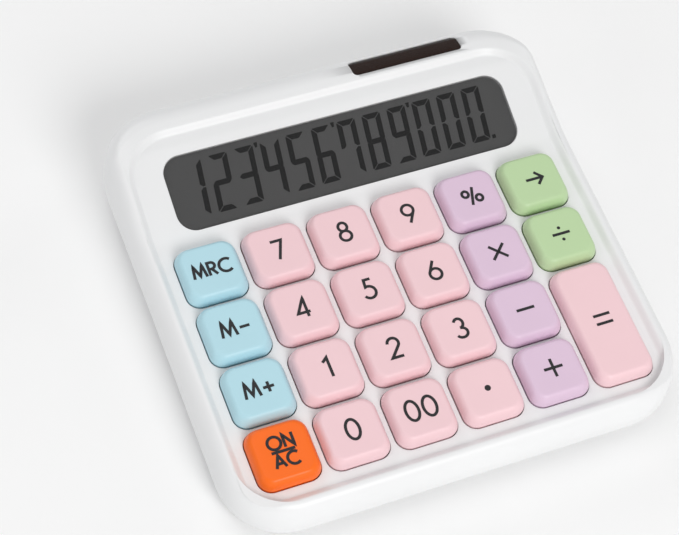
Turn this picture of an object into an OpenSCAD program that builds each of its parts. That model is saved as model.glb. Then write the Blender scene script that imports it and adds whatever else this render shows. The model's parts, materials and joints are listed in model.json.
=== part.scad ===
/* [Keys] */
// Side of a keycap at the key deck
key_size = 20; // [17:0.5:24]
// Gap between keycaps, side to side
key_gap_x = 2; // [1.8:0.1:4]
// Gap between keycaps, front to back
key_gap_y = 1.5; // [1.4:0.1:4]
// Plan corner radius of a keycap
key_r = 4.4; // [3:0.1:6]
// Height of a keycap over the key deck
key_rise = 4.4; // [3.5:0.1:7]
// How far each side of a keycap leans in at its top
key_lean = 1.7; // [1:0.1:3]
// Thickness of a keycap's skirt
key_wall = 1.3; // [1:0.1:1.8]
// Travel of a key
key_travel = 2.5; // [1.5:0.1:3]
// Gap between a keycap and its opening
key_play = 0.2; // [0.15:0.05:0.4]

/* [Key deck and rim] */
// Thickness of the key deck and of the display face
deck_t = 2; // [1.6:0.1:3]
// Distance from the outer keycaps to the foot of the rim
tray_margin = 4.1; // [3.5:0.1:8]
// Width of the rim beside and in front of the keys
rim_w = 6; // [5.5:0.1:10]
// Height of the rim over the deck and over the display shelf
rim_rise = 2; // [1:0.1:4]
// Width of the rounded shoulder of the rim
rim_round = 4.6; // [2:0.1:5]

/* [Display] */
// Distance from the keycaps to the start of the sloping display face
display_gap = 5; // [4:0.5:10]
// Slope of the display face against the key deck, in degrees
display_slope = 15; // [8:1:20]
// Length of the display window, up its slope
window_l = 25.2; // [18:0.2:32]
// Width of the display window
window_w = 117.4; // [90:0.2:120]
// Plan corner radius of the display window
window_r = 6; // [3:0.5:8]
// Thickness of the display window
window_t = 1; // [0.8:0.1:1.2]
// Level shelf behind the display face
shelf_l = 5.2; // [4:0.1:8]

/* [Solar cell] */
// Width of the solar pocket
solar_w = 38.8; // [25:0.2:44]
// Length of the solar pocket, front to back
solar_l = 6.8; // [6:0.1:7.2]
// Distance of the pocket's centre from the middle of the case
solar_x = 31; // [28:0.5:33]
// Height of the solar cover over the key deck
solar_floor = 5.4; // [2.6:0.1:5.6]

/* [Case] */
// Plan corner radius of the case
case_r = 21; // [16:0.5:24]
// Width of the rim behind the shelf
back_rim = 15.6; // [15:0.1:18]
// Width of the rounded shoulder at the back
back_round = 12; // [8:0.5:13]
// Slope of the key deck against the table, in degrees
deck_tilt = 4; // [2:0.5:6]
// Height of the key deck over the table, at the middle of the keys
deck_h = 19.4; // [19:0.1:26]
// Thickness of the wall at the widest line of the case
wall = 4.2; // [3.4:0.1:4.6]
// Thickness of the rear cover's floor
floor_t = 2.4; // [2.2:0.1:3]
// How far the rear cover curves in at its foot
base_inset = 7; // [5:0.5:8]
// Height of the rubber feet under the rear cover
foot_h = 1.5; // [1:0.1:2.5]
// Radius of a rubber foot
foot_r = 4.5; // [3.5:0.1:5.5]

/* [Battery] */
// Radius of the round cell
cell_r = 5.2; // [4.9:0.05:5.25]
// Length of the round cell
cell_l = 44.5; // [42:0.1:45]
// Thickness of the battery door
door_t = 1.6; // [1.5:0.1:1.8]

/* [Hidden] */

// Colours
white_shell = [0.94, 0.94, 0.95];
sky_blue = [0.72, 0.87, 0.91];
blush_pink = [0.92, 0.8, 0.81];
soft_lilac = [0.85, 0.77, 0.86];
leaf_green = [0.73, 0.84, 0.67];
warm_orange = [1, 0.5, 0.25];
steel = [0.75, 0.75, 0.77];
dark_glass = [0.25, 0.25, 0.26];

// The keys stand on a grid whose middle is the zero of the deck; the tall key fills the last two rows of
// the last column. On the deck, X runs across, Y runs towards the display and Z stands on the deck.
last_col = 5;
last_row = 3;
tall_row = 2;
pitch_x = key_size + key_gap_x;
pitch_y = key_size + key_gap_y;
keys_half_w = last_col / 2 * pitch_x + key_size / 2;
keys_half_l = last_row / 2 * pitch_y + key_size / 2;
function col_x(col) = (col - last_col / 2) * pitch_x;
function row_y(row) = (last_row / 2 - row) * pitch_y;

// Outline stations, from the front of the case to its back
tray_half_w = keys_half_w + tray_margin;
tray_front = -(keys_half_l + tray_margin);
case_half_w = tray_half_w + rim_w;
case_front = tray_front - rim_w;
slope_start = keys_half_l + display_gap;
window_edge = 1.6;
slope_l = window_l + 2 * window_edge + 1.1;
slope_end = slope_start + slope_l * cos(display_slope);
face_rise = slope_l * sin(display_slope);
tray_back = slope_end + shelf_l;
case_back = tray_back + back_rim;

// Levels, measured from the deck
widest = -7;
seam = -11;
seam_gap = 0.15;
arc_steps = 8;
shoulder_steps = 6;
skin = 0.01;
block_lap = 0.5;
far = 200;

// Places of the deck in the whole object
origin_y = ((case_back + case_front) * cos(deck_tilt) - (seam + widest) * sin(deck_tilt)) / 2;
base_z = foot_h;
floor_z = base_z + floor_t;
function table_y(y, z) = y * cos(deck_tilt) - z * sin(deck_tilt) - origin_y;
function table_z(y, z) = y * sin(deck_tilt) + z * cos(deck_tilt) + deck_h;

module on_deck() translate([0, -origin_y, deck_h]) rotate([deck_tilt, 0, 0]) children();

module on_slope() on_deck() translate([0, slope_start, 0]) rotate([display_slope, 0, 0]) children();

// Outlines. A corner is a quarter ellipse about a centre, with its two radii.
function corner(centre, rx, ry, quarter) =
    [for (k = [0:arc_steps])
        let (a = 90 * (quarter + k / arc_steps))
        [centre[0] + rx * cos(a), centre[1] + ry * sin(a)]];

function box_outline(w, l, r) =
    [for (q = [0:3])
        let (sx = q == 0 || q == 3 ? 1 : -1, sy = q < 2 ? 1 : -1)
        each corner([sx * (w / 2 - r), sy * (l / 2 - r)], r, r, q)];

function back_corners(side, back) =
    let (x = case_half_w - case_r, y = case_back - case_r)
    concat(corner([x, y], case_r - side, case_r - back, 0),
           corner([-x, y], case_r - side, case_r - back, 1));

function front_corners(side, front) =
    let (x = case_half_w - case_r, y = case_front + case_r)
    concat(corner([-x, y], case_r - side, case_r - front, 2),
           corner([x, y], case_r - side, case_r - front, 3));

function case_outline(inset) = concat(back_corners(inset, inset), front_corners(inset, inset));

function key_block_outline(inset, end) =
    let (x = case_half_w - inset)
    concat([[x, end], [-x, end]], front_corners(inset, inset));

function display_block_outline(side, back) =
    let (x = case_half_w - side)
    concat([[-x, slope_end], [x, slope_end]], back_corners(side, back));

tray_front_r = 8;
tray_back_r = case_r - rim_w;
tray_outline =
    concat(corner([tray_half_w - tray_back_r, tray_back - tray_back_r], tray_back_r, tray_back_r, 0),
           corner([tray_back_r - tray_half_w, tray_back - tray_back_r], tray_back_r, tray_back_r, 1),
           corner([tray_front_r - tray_half_w, tray_front + tray_front_r], tray_front_r, tray_front_r, 2),
           corner([tray_half_w - tray_front_r, tray_front + tray_front_r], tray_front_r, tray_front_r, 3));

module slab(outline, low, high) translate([0, 0, low]) linear_extrude(high - low) polygon(outline);

module block(x, y, z)
    translate([x[0], y[0], z[0]]) cube([x[1] - x[0], y[1] - y[0], z[1] - z[0]]);

module post(x, y, low, high, r) translate([x, y, low]) cylinder(h = high - low, r = r, $fn = 32);

// A round bar along X, from one end to the other
module rod(x, y, z, r)
    translate([x[0], y, z]) rotate([0, 90, 0]) cylinder(h = x[1] - x[0], r = r, $fn = 32);

// A side view, given as points of (Y, Z), drawn through the whole width
module side_view(points, half)
    translate([-half, 0, 0]) rotate([90, 0, 90]) linear_extrude(2 * half) polygon(points);

// A thin sheet that leans by rise per unit of Y
module leaning_sheet(outline, rise, level)
    multmatrix([[1, 0, 0, 0], [0, 1, 0, 0], [0, rise, 1, level], [0, 0, 0, 1]])
        linear_extrude(skin) polygon(outline);

// Screw places on the deck
back_boss = [case_half_w - 28, case_back - 16];
case_screw_at = [[-pitch_x, -pitch_y], [pitch_x, -pitch_y], [-2 * pitch_x, 0], [2 * pitch_x, 0],
                 [-back_boss[0], back_boss[1]], [back_boss[0], back_boss[1]]];
board_screw_at = [for (p = [[-2, 1], [0, 1], [2, 1], [-2, -1], [0, -1]])
                  [p[0] * pitch_x, p[1] * pitch_y]];
boss_meet = -7.5;
screw_seat = -11.4;
web_room = norm([key_gap_x / 2 + key_r, key_gap_y / 2 + key_r]) - key_r;
boss_r = web_room - 0.45;
slim_boss_r = web_room - 0.85;
foot_boss_r = 3;
foot_boss_low_r = 4;
foot_boss_step = -10.4;
screw_r = 1.15;
screw_hole_r = 1.2;
small_screw_r = 0.85;
small_hole_r = 0.9;
root = 0.5;
head_r = 2.5;
head_play = 0.25;
head_h = 1.6;
slot_w = 0.6;
slot_depth = 0.7;

// Key heights under the deck
skirt_low = -(deck_t + 1.4);
plunger_low = -(deck_t + 2);
plunger_r = 2.9;
tab_w = 0.7;
tab_l = 5;

// Board stack
mat_t = 1;
dome_touch = 0.05;
mat_top = plunger_low - key_travel - 1;
board_top = mat_top - mat_t;
board_t = 1.2;
board_low = board_top - board_t;
board_half_w = keys_half_w + 1.5;
board_front = -keys_half_l - 1.5;
board_back = keys_half_l + 3.7;
board_r = case_r - 9;

// Display stack, measured down from the display face
window_rebate = window_t + 0.2;
window_play = 0.1;
window_mid = window_edge + window_l / 2;
glass_w = window_w - 9.4;
glass_l = window_l - 2.7;
glass_top = -(deck_t + 0.6);
glass_t = 2.2;
pad_strip = 2.4;
reflector_t = 0.3;
frame_low = glass_top - glass_t - reflector_t - 1.2;
window_ledge = 1.6;
ear_x = window_w / 2 + 4.3;
ear_t = 1.1;
ear_boss_r = 2.4;

// Battery place: the cell lies across the case, under the display
cell_x = -14;
cell_y = table_y(slope_end - 5, 0);
cell_z = floor_z + cell_r + 0.4;
button_r = 1.9;
button_h = 1;
bay_half_l = cell_l / 2 + 4;
bay_half_w = cell_r + 0.5;
bay_wall = 1.3;
bay_top = cell_z + cell_r + 0.6;
door_half_l = bay_half_l + 1.5;
door_front = cell_y - bay_half_w - 2.2;
door_back = cell_y + bay_half_w + 1.6;
door_play = 0.3;
hinge_z = base_z + door_t / 2;
hinge_pin_r = 0.5;
pin_reach = door_half_l + 1.9;
catch_half_w = 3.5;
rib_x = 14;
grip_half_w = 6;
grip_pitch = 1.6;
grip_depth = 0.4;
lead_up = 3.2;
ribbon_t = 0.25;
ribbon_half_w = 30;

module screw_row(points, seat, tip, r, head)
    for (p = points) difference() {
        union() {
            post(p[0], p[1], seat, tip, r);
            post(p[0], p[1], seat - head_h, seat, head);
        }
        for (turn = [0, 90])
            translate([p[0], p[1], seat - head_h]) rotate([0, 0, turn])
                cube([head * 1.2, slot_w, 2 * slot_depth], center = true);
    }

module key_block() hull() {
    slab(key_block_outline(0, slope_start + block_lap), seam + seam_gap, widest);
    for (k = [1:shoulder_steps]) {
        a = 90 * k / shoulder_steps;
        top = widest + (rim_rise - widest) * sin(a);
        slab(key_block_outline(rim_round * (1 - cos(a)), slope_start + block_lap), top - skin, top);
    }
}

module display_block() hull() {
    front_edge = [[case_half_w, slope_start], [-case_half_w, slope_start]];
    slab(concat(front_edge, display_block_outline(0, 0)), seam + seam_gap, widest);
    for (k = [1:shoulder_steps]) {
        a = 90 * k / shoulder_steps;
        low = widest + (rim_rise - widest) * sin(a);
        top = widest + (rim_rise + face_rise - widest) * sin(a);
        side = rim_round * (1 - cos(a));
        x = case_half_w - side;
        rise = (top - low) / (slope_end - slope_start);
        leaning_sheet([[-x, slope_start], [x, slope_start], [x, slope_end], [-x, slope_end]],
                      rise, low - rise * slope_start - skin);
        slab(display_block_outline(side, back_round * (1 - cos(a))), top - skin, top);
    }
}

module tray_space() intersection() {
    slab(tray_outline, -1, far / 4);
    side_view([[tray_front - 1, 0], [slope_start, 0], [slope_end, face_rise], [tray_back + 1, face_rise],
               [tray_back + 1, far / 4], [tray_front - 1, far / 4]], tray_half_w + 1);
}

face_drop = deck_t / cos(display_slope);
solar_y = case_back - 9.5;
solar_shelf = 1.2;
solar_cover_t = 1;
solar_ledge = 0.8;
solar_ceiling = solar_floor - solar_cover_t - solar_shelf;
solar_cell_t = 1.1;
solar_boss_r = 2;
solar_hole_r = 0.75;
solar_post_x = [solar_x - solar_w / 2 - 2.7, solar_x + solar_w / 2 + 2.7];
bracket_top = solar_ceiling - solar_cell_t - 0.2;
bracket_t = 1.2;
step_y = solar_y - solar_l / 2 - 2.5;

module case_space() intersection() {
    slab(case_outline(wall), -far / 4, far / 4);
    side_view([[case_front, -deck_t],
               [slope_start + (face_drop - deck_t) / tan(display_slope), -deck_t],
               [slope_end, face_rise - face_drop],
               [step_y, face_rise - face_drop],
               [step_y, solar_ceiling],
               [case_back, solar_ceiling],
               [case_back, -far / 4],
               [case_front, -far / 4]], case_half_w);
}

module key_opening(col, row, rows = 1)
    translate([col_x(col), (row_y(row) + row_y(row + rows - 1)) / 2, 0])
        slab(box_outline(key_size + 2 * key_play,
                         key_size + (rows - 1) * pitch_y + 2 * key_play,
                         key_r + key_play),
             -deck_t - 1, 1);

module top_case() color(white_shell) difference() {
    union() {
        on_deck() difference() {
            union() {
                key_block();
                display_block();
            }
            tray_space();
            case_space();
            for (col = [0:last_col], row = [0:last_row])
                if (col < last_col || row < tall_row) key_opening(col, row);
            key_opening(last_col, tall_row, 2);
            translate([solar_x, solar_y, 0]) {
                slab(box_outline(solar_w, solar_l, 1.6), solar_floor - solar_cover_t, far / 4);
                slab(box_outline(solar_w - 2 * solar_ledge, solar_l - 2 * solar_ledge, 1),
                     -far / 8, solar_floor);
            }
        }
        on_deck() {
            for (p = case_screw_at)
                post(p[0], p[1], boss_meet,
                     root + (p[1] > slope_start ? face_rise - face_drop : -deck_t), boss_r);
            for (p = board_screw_at) post(p[0], p[1], board_top, root - deck_t, slim_boss_r);
            for (x = solar_post_x) post(x, solar_y, bracket_top, solar_ceiling + root, solar_boss_r);
        }
        on_slope() for (x = [-ear_x, ear_x])
            post(x, window_mid, frame_low + ear_t + 0.1, root - deck_t, ear_boss_r);
    }
    on_slope() translate([0, window_mid, 0]) {
        slab(box_outline(window_w + 2 * window_play, window_l + 2 * window_play, window_r),
             -window_rebate, 1);
        slab(box_outline(window_w - 2 * window_ledge, window_l - 2 * window_ledge,
                         window_r - window_ledge), -deck_t - 1, 0);
    }
    on_deck() {
        for (p = case_screw_at) post(p[0], p[1], boss_meet - 1, boss_meet + 5, screw_hole_r);
        for (p = board_screw_at) post(p[0], p[1], board_top - 1, -deck_t - 0.8, small_hole_r);
        for (x = solar_post_x) post(x, solar_y, bracket_top - 1, solar_ceiling - 0.2, solar_hole_r);
    }
    on_slope() for (x = [-ear_x, ear_x])
        post(x, window_mid, frame_low, -deck_t - 0.4, small_hole_r);
}

// Sheets from the seam to the foot of the rear cover, curving in on a quarter ellipse
module cover_block() hull()
    for (k = [0:shoulder_steps]) {
        a = 90 * k / shoulder_steps;
        left = 1 - sin(a);
        rise = sin(deck_tilt) * left;
        level = base_z + (deck_h + seam * cos(deck_tilt) - base_z) * left;
        multmatrix([[1, 0, 0, 0],
                    [0, cos(deck_tilt), 0, -seam * sin(deck_tilt) - origin_y],
                    [0, rise, 1, level - skin * left],
                    [0, 0, 0, 1]])
            linear_extrude(skin) polygon(case_outline(cover_step + base_inset * (1 - cos(a))));
    }

lip_play = 0.15;
lip_t = 1.4;
lip_h = 2.5;
cover_step = 0.3;
foot_ring = 1;
foot_play = 0.1;
foot_at = [[-1, -1], [1, -1], [-1, 1], [1, 1]];
foot_sink = 0.6;
foot_from_edge = 20;
foot_x = case_half_w - foot_from_edge;
foot_y = (case_back - case_front) / 2 - foot_from_edge;

module bay_walls() {
    x = bay_half_l + bay_wall;
    y = bay_half_w + bay_wall;
    block([cell_x - x, cell_x + x], [cell_y - y, cell_y + y], [base_z + 1, bay_top + bay_wall]);
}

module bay_space() {
    block([cell_x - bay_half_l, cell_x + bay_half_l],
          [cell_y - bay_half_w, cell_y + bay_half_w],
          [base_z - 1, bay_top]);
    block([cell_x - door_half_l - door_play, cell_x + door_half_l + door_play],
          [door_front - door_t / 2 - door_play, door_back + door_play],
          [base_z - 1, base_z + door_t + 0.1]);
    block([cell_x - catch_half_w - 1, cell_x + catch_half_w + 1],
          [door_back - 2.2, door_back + door_play],
          [base_z, floor_z + 1]);
    rod([cell_x - pin_reach - 0.2, cell_x + pin_reach + 0.2], door_front, hinge_z, hinge_pin_r + 0.05);
    for (s = [-1, 1])
        rod([cell_x + s * (bay_half_l + 1.5) - 2, cell_x + s * (bay_half_l + 1.5) + 2],
            cell_y, cell_z + lead_up, 0.8);
}

module rear_cover() color(white_shell) difference() {
    union() {
        difference() {
            cover_block();
            intersection() {
                on_deck() slab(case_outline(wall + lip_play + lip_t), -far / 4, far / 4);
                block([-far, far], [-far, far], [floor_z, far]);
            }
        }
        on_deck() difference() {
            slab(case_outline(wall + lip_play), seam - 1.5, seam + lip_h);
            slab(case_outline(wall + lip_play + lip_t), seam - 2.5, seam + lip_h + 1);
        }
        intersection() {
            on_deck() for (p = case_screw_at) {
                post(p[0], p[1], -far / 4, boss_meet - 0.1, foot_boss_r);
                post(p[0], p[1], -far / 4, foot_boss_step, foot_boss_low_r);
            }
            block([-far, far], [-far, far], [base_z + 0.5, far]);
        }
        for (f = foot_at)
            post(f[0] * foot_x, f[1] * foot_y, floor_z - 0.5, floor_z + 0.5, foot_r + foot_ring);
        bay_walls();
    }
    bay_space();
    on_deck() for (p = case_screw_at) {
        post(p[0], p[1], screw_seat - 0.5, 0, screw_hole_r + 0.3);
        post(p[0], p[1], -far / 4, screw_seat, head_r + head_play);
    }
    for (f = foot_at)
        post(f[0] * foot_x, f[1] * foot_y, 0, base_z + foot_sink, foot_r + foot_play);
}

module battery_door() color(white_shell) difference() {
    union() {
        block([cell_x - door_half_l, cell_x + door_half_l],
              [door_front, door_back],
              [base_z, base_z + door_t]);
        rod([cell_x - pin_reach, cell_x + pin_reach], door_front, hinge_z, hinge_pin_r);
        rod([cell_x - door_half_l, cell_x + door_half_l], door_front, hinge_z, door_t / 2);
        block([cell_x - catch_half_w, cell_x + catch_half_w],
              [door_back - 1.6, door_back - 0.5],
              [base_z + door_t - 0.2, base_z + door_t + 1.6]);
        for (x = [-rib_x, rib_x])
            block([cell_x + x - 1, cell_x + x + 1],
                  [cell_y - 4, cell_y + 4],
                  [base_z + door_t - 0.2, floor_z - 0.1]);
    }
    for (k = [0:3])
        block([cell_x - grip_half_w, cell_x + grip_half_w],
              [door_back - 4 - k * grip_pitch, door_back - 4 - (k - 0.5) * grip_pitch],
              [base_z - 1, base_z + grip_depth]);
}

module battery_cell() color("silver") translate([cell_x - cell_l / 2, cell_y, cell_z])
    rotate([0, 90, 0]) {
        cylinder(h = cell_l - button_h, r = cell_r, $fn = 48);
        cylinder(h = cell_l, r = button_r, $fn = 32);
    }

// A round wire along a list of points, each ring square to the run of the wire
function direction(points, k) =
    let (a = points[max(k - 1, 0)], b = points[min(k + 1, len(points) - 1)])
    (b - a) / norm(b - a);

wire_sides = 8;

module wire(points, r) {
    rings = [for (k = [0:len(points) - 1])
        let (d = direction(points, k),
             up = abs(d[2]) > 0.8 ? [0, 1, 0] : [0, 0, 1],
             u = cross(up, d) / norm(cross(up, d)),
             v = cross(d, u))
        for (s = [0:wire_sides - 1])
            let (turn = s * 360 / wire_sides)
            points[k] + r * (u * cos(turn) + v * sin(turn))];
    last = (len(points) - 1) * wire_sides;
    sides = [for (k = [0:len(points) - 2], s = [0:wire_sides - 1])
        let (n = (s + 1) % wire_sides, b = k * wire_sides)
        [b + s, b + wire_sides + s, b + wire_sides + n, b + n]];
    low_end = [for (s = [0:wire_sides - 1]) s];
    high_end = [for (s = [wire_sides - 1:-1:0]) last + s];
    polyhedron(rings, concat([low_end], sides, [high_end]), convexity = 6);
}

// Smooth points through four hand-set corners of a wire
curve_steps = 12;
function bent(a, b, c, d) =
    [for (k = [0:curve_steps])
        let (t = k / curve_steps, s = 1 - t)
        a * s * s * s + b * 3 * s * s * t + c * 3 * s * t * t + d * t * t * t];

wire_r = 0.5;

contact_t = 0.4;
contact_half_w = 2.8;
spring_r = 3.6;
spring_taper = 0.8;

module contact_leaf(x)
    block([x, x + contact_t], [cell_y - contact_half_w, cell_y + contact_half_w],
          [floor_z + 1.2, bay_top - 0.3]);

module contact_spring() color(steel) {
    x = cell_x - bay_half_l + 0.1;
    contact_leaf(x);
    turns = 3;
    gap = cell_x - cell_l / 2 - x - contact_t;
    for (k = [0:turns - 1])
        translate([x + 0.35 + (gap - 0.5) * (k + 0.5) / turns, cell_y, cell_z])
            rotate([0, 90, 0]) rotate_extrude($fn = 32)
                translate([spring_r - k * spring_taper, 0]) circle(r = 0.55, $fn = 16);
}

module contact_plate() color(steel) {
    x = cell_x + bay_half_l - contact_t - 0.1;
    contact_leaf(x);
    rod([cell_x + cell_l / 2 + 0.05, x + 0.15], cell_y, cell_z, button_r - 0.3);
}

board_pad_z = table_z(board_back - 4, board_low);
board_pad_y = table_y(board_back - 4, board_low);

module battery_lead(s, pad_x) {
    start = [cell_x + s * (bay_half_l + bay_wall + 0.2), cell_y, cell_z + lead_up];
    pad = [pad_x, board_pad_y, board_pad_z - wire_r];
    wire(bent(start, start + [s * 4, 0, 0.5], pad + [s * 2, 16, -1.5], pad), wire_r);
}

module battery_lead_red() color("firebrick") battery_lead(1, 26);
module battery_lead_black() color("dimgray") battery_lead(-1, -46);

module solar_lead(x, pad_x) {
    under = bracket_top - bracket_t - wire_r;
    start = [x, table_y(solar_y, under), table_z(solar_y, under)];
    pad = [pad_x, board_pad_y, board_pad_z - wire_r];
    wire(bent(start, start + [6, 2, -10], pad + [4, 24, -2], pad), wire_r);
}

module solar_lead_red() color("firebrick") solar_lead(solar_x + 4, 34);
module solar_lead_black() color("dimgray") solar_lead(solar_x - 7, 29);

module display_window() color(dark_glass) on_slope() translate([0, window_mid, 0])
    slab(box_outline(window_w, window_l, window_r), -window_rebate, -window_rebate + window_t);

module lcd_glass() color([0.3, 0.32, 0.3]) on_slope() translate([0, window_mid, 0]) {
    slab(box_outline(glass_w, glass_l, 0.5), glass_top - glass_t / 2, glass_top);
    translate([0, pad_strip / 2, 0])
        slab(box_outline(glass_w, glass_l - pad_strip, 0.5), glass_top - glass_t, glass_top - glass_t / 2);
}

module lcd_reflector() color("gainsboro") on_slope() translate([0, window_mid + pad_strip / 2, 0])
    slab(box_outline(glass_w - 1, glass_l - pad_strip - 1, 0.5),
         glass_top - glass_t - reflector_t, glass_top - glass_t);

module lcd_frame() color("ivory") on_slope() translate([0, window_mid, 0]) difference() {
    union() {
        slab(box_outline(glass_w + 4, glass_l + 4, 1.5), frame_low, -deck_t - 0.1);
        slab(box_outline(2 * ear_x + 7, 7, 3), frame_low, frame_low + ear_t);
    }
    slab(box_outline(glass_w + 0.4, glass_l + 0.4, 0.7), glass_top - glass_t - reflector_t - 0.1, 0);
    slab(box_outline(glass_w - 8, glass_l - 12, 2), frame_low - 1, 0);
    block([-ribbon_half_w - 2, ribbon_half_w + 2],
          [-glass_l / 2 - 3, -glass_l / 2 + 1.4],
          [frame_low - 1, glass_top - glass_t / 2 - 0.05]);
    for (x = [-ear_x, ear_x]) post(x, 0, frame_low - 1, 0, small_screw_r + 0.3);
}

module lcd_screws() color(steel) on_slope()
    screw_row([[-ear_x, window_mid], [ear_x, window_mid]], frame_low, -deck_t - 0.8, small_screw_r, 1.9);

function beside(path, k, half) = let (d = direction(path, k)) path[k] + half * [-d[1], d[0]];

// Flat ribbon from the display cell down to the board, as an S in the side view
module lcd_ribbon() color("peru") on_deck() {
    top_s = window_mid - glass_l / 2 + 0.6;
    top_n = glass_top - glass_t / 2 - ribbon_t / 2 - 0.02;
    start = [slope_start + top_s * cos(display_slope) - top_n * sin(display_slope),
             top_s * sin(display_slope) + top_n * cos(display_slope)];
    end = [board_back - 2.2, board_top + ribbon_t / 2];
    path = bent(start, start + [0, -3.2], end + [4.5, 0], end);
    upper = [for (k = [0:curve_steps]) beside(path, k, ribbon_t / 2)];
    lower = [for (k = [curve_steps:-1:0]) beside(path, k, -ribbon_t / 2)];
    side_view(concat(upper, lower), ribbon_half_w);
}

module solar_window() color([0.35, 0.25, 0.2]) on_deck() translate([solar_x, solar_y, 0])
    slab(box_outline(solar_w - 0.2, solar_l - 0.2, 1.5), solar_floor - solar_cover_t, solar_floor);

module solar_cell() color([0.18, 0.12, 0.1]) on_deck() translate([solar_x, solar_y - 0.2, 0])
    slab(box_outline(solar_w, solar_l - 0.2, 0.4),
         solar_ceiling - solar_cell_t - 0.05, solar_ceiling - 0.05);

module solar_bracket() color("ivory") on_deck() difference() {
    slab([for (p = box_outline(solar_w + 10, 5.4, 2)) p + [solar_x, solar_y]],
         bracket_top - bracket_t, bracket_top);
    for (x = solar_post_x) post(x, solar_y, bracket_top - bracket_t - 1, 5, solar_hole_r + 0.2);
}

module solar_screws() color(steel) on_deck()
    screw_row([for (x = solar_post_x) [x, solar_y]],
              bracket_top - bracket_t, solar_ceiling - 0.6, solar_hole_r - 0.05, 1.6);

// The board's outline: square at the back, rounded at the front like the case
module board_outline_slab(inset, low, high)
    let (x = board_half_w - inset, y = board_back - inset, r = board_r - inset)
    let (left = [board_r - board_half_w, board_front + board_r], right = [-left[0], left[1]])
    slab(concat([[x, y], [-x, y]], corner(left, r, r, 2), corner(right, r, r, 3)), low, high);

module main_board() color("seagreen") on_deck() difference() {
    board_outline_slab(0, board_low, board_top);
    for (p = board_screw_at) post(p[0], p[1], board_low - 1, board_top + 1, small_screw_r + 0.3);
    for (p = case_screw_at) post(p[0], p[1], board_low - 1, board_top + 1, foot_boss_r + 0.3);
}

dome_h = plunger_low - dome_touch - mat_top;
dome_hole_r = 4.6;
dome_profile = [[dome_hole_r, -mat_t / 2], [dome_hole_r + 1, -mat_t / 2], [dome_hole_r + 1, 0],
                [4, dome_h - 0.8], [3.4, dome_h], [0, dome_h], [0, dome_h - 1.6],
                [2.6, dome_h - 1.6], [3.2, dome_h - 1.2], [dome_hole_r, 0]];

module dome(x, y) translate([x, y, mat_top]) rotate_extrude($fn = 32) polygon(dome_profile);

module keypad_mat() color("whitesmoke") on_deck() {
    difference() {
        board_outline_slab(0.6, board_top, mat_top);
        for (p = board_screw_at) post(p[0], p[1], board_top - 1, mat_top + 1, slim_boss_r + 0.4);
        for (p = case_screw_at) post(p[0], p[1], board_top - 1, mat_top + 1, foot_boss_r + 0.4);
        for (col = [0:last_col], row = [0:last_row])
            post(col_x(col), row_y(row), board_top - 1, mat_top + 1, dome_hole_r);
        block([-ribbon_half_w - 1, ribbon_half_w + 1],
              [board_back - 4.6, board_back + 1],
              [board_top - 1, mat_top + 1]);
    }
    for (col = [0:last_col], row = [0:last_row]) dome(col_x(col), row_y(row));
}

module controller_chip() color([0.1, 0.1, 0.1]) on_deck()
    translate([-8, 8, board_low]) rotate([180, 0, 0])
        rotate_extrude($fn = 48)
            polygon([[0, 0], [6, 0], [5.4, 0.7], [4, 1.2], [2, 1.5], [0, 1.6]]);

can_h = 3.4;

module board_capacitors() color("navy") on_deck()
    for (can = [[20, 12, 2.5], [29, 12, 2], [36, 9, 2]])
        post(can[0], can[1], board_low - can_h, board_low, can[2]);

module board_screws() color(steel) on_deck()
    screw_row(board_screw_at, board_low, -deck_t - 1.2, small_screw_r, 2);

module case_screws() color(steel) on_deck()
    screw_row(case_screw_at, screw_seat, boss_meet + 4.5, screw_r, head_r);

module rubber_feet() color("dimgray")
    for (f = foot_at) post(f[0] * foot_x, f[1] * foot_y, 0, base_z + foot_sink, foot_r);

// A keycap: a straight skirt in its opening, and a crown that leans in with a soft shoulder
crown_steps = 4;
crown_low = 0.9;
crown_t = 1.8;

module keycap(col, row, paint, rows = 1) {
    long = (rows - 1) * pitch_y;
    rest_at = rows > 1 ? [-long / 2, long / 2] : [0];
    inner_w = key_size - 2 * key_wall - 0.8;
    inner_l = inner_w + long;
    ceiling = key_rise - crown_t;
    color(paint) on_deck() translate([col_x(col), row_y(row) - long / 2, 0]) {
        difference() {
            union() {
                slab(box_outline(key_size, key_size + long, key_r), skirt_low, crown_low);
                hull() for (k = [0:crown_steps]) {
                    a = 90 * k / crown_steps;
                    lean = key_lean * (0.5 * k / crown_steps + 0.5 * (1 - cos(a)));
                    top = crown_low + (key_rise - crown_low) * sin(a);
                    slab(box_outline(key_size - 2 * lean, key_size + long - 2 * lean, key_r - lean / 2),
                         top - skin, top);
                }
                for (v = rest_at)
                    block([-key_size / 2 - tab_w, key_size / 2 + tab_w],
                          [v - tab_l / 2, v + tab_l / 2],
                          [skirt_low + 0.1, -deck_t - 0.1]);
            }
            slab(box_outline(inner_w, inner_l, key_r - key_wall), skirt_low - 1, ceiling);
        }
        for (v = rest_at) {
            post(0, v, plunger_low, ceiling + 0.1, plunger_r);
            block([-inner_w / 2 - 0.1, inner_w / 2 + 0.1], [v - 0.5, v + 0.5], [-1.6, ceiling + 0.1]);
        }
        block([-0.5, 0.5], [-inner_l / 2 - 0.1, inner_l / 2 + 0.1], [-1.6, ceiling + 0.1]);
    }
}

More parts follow.
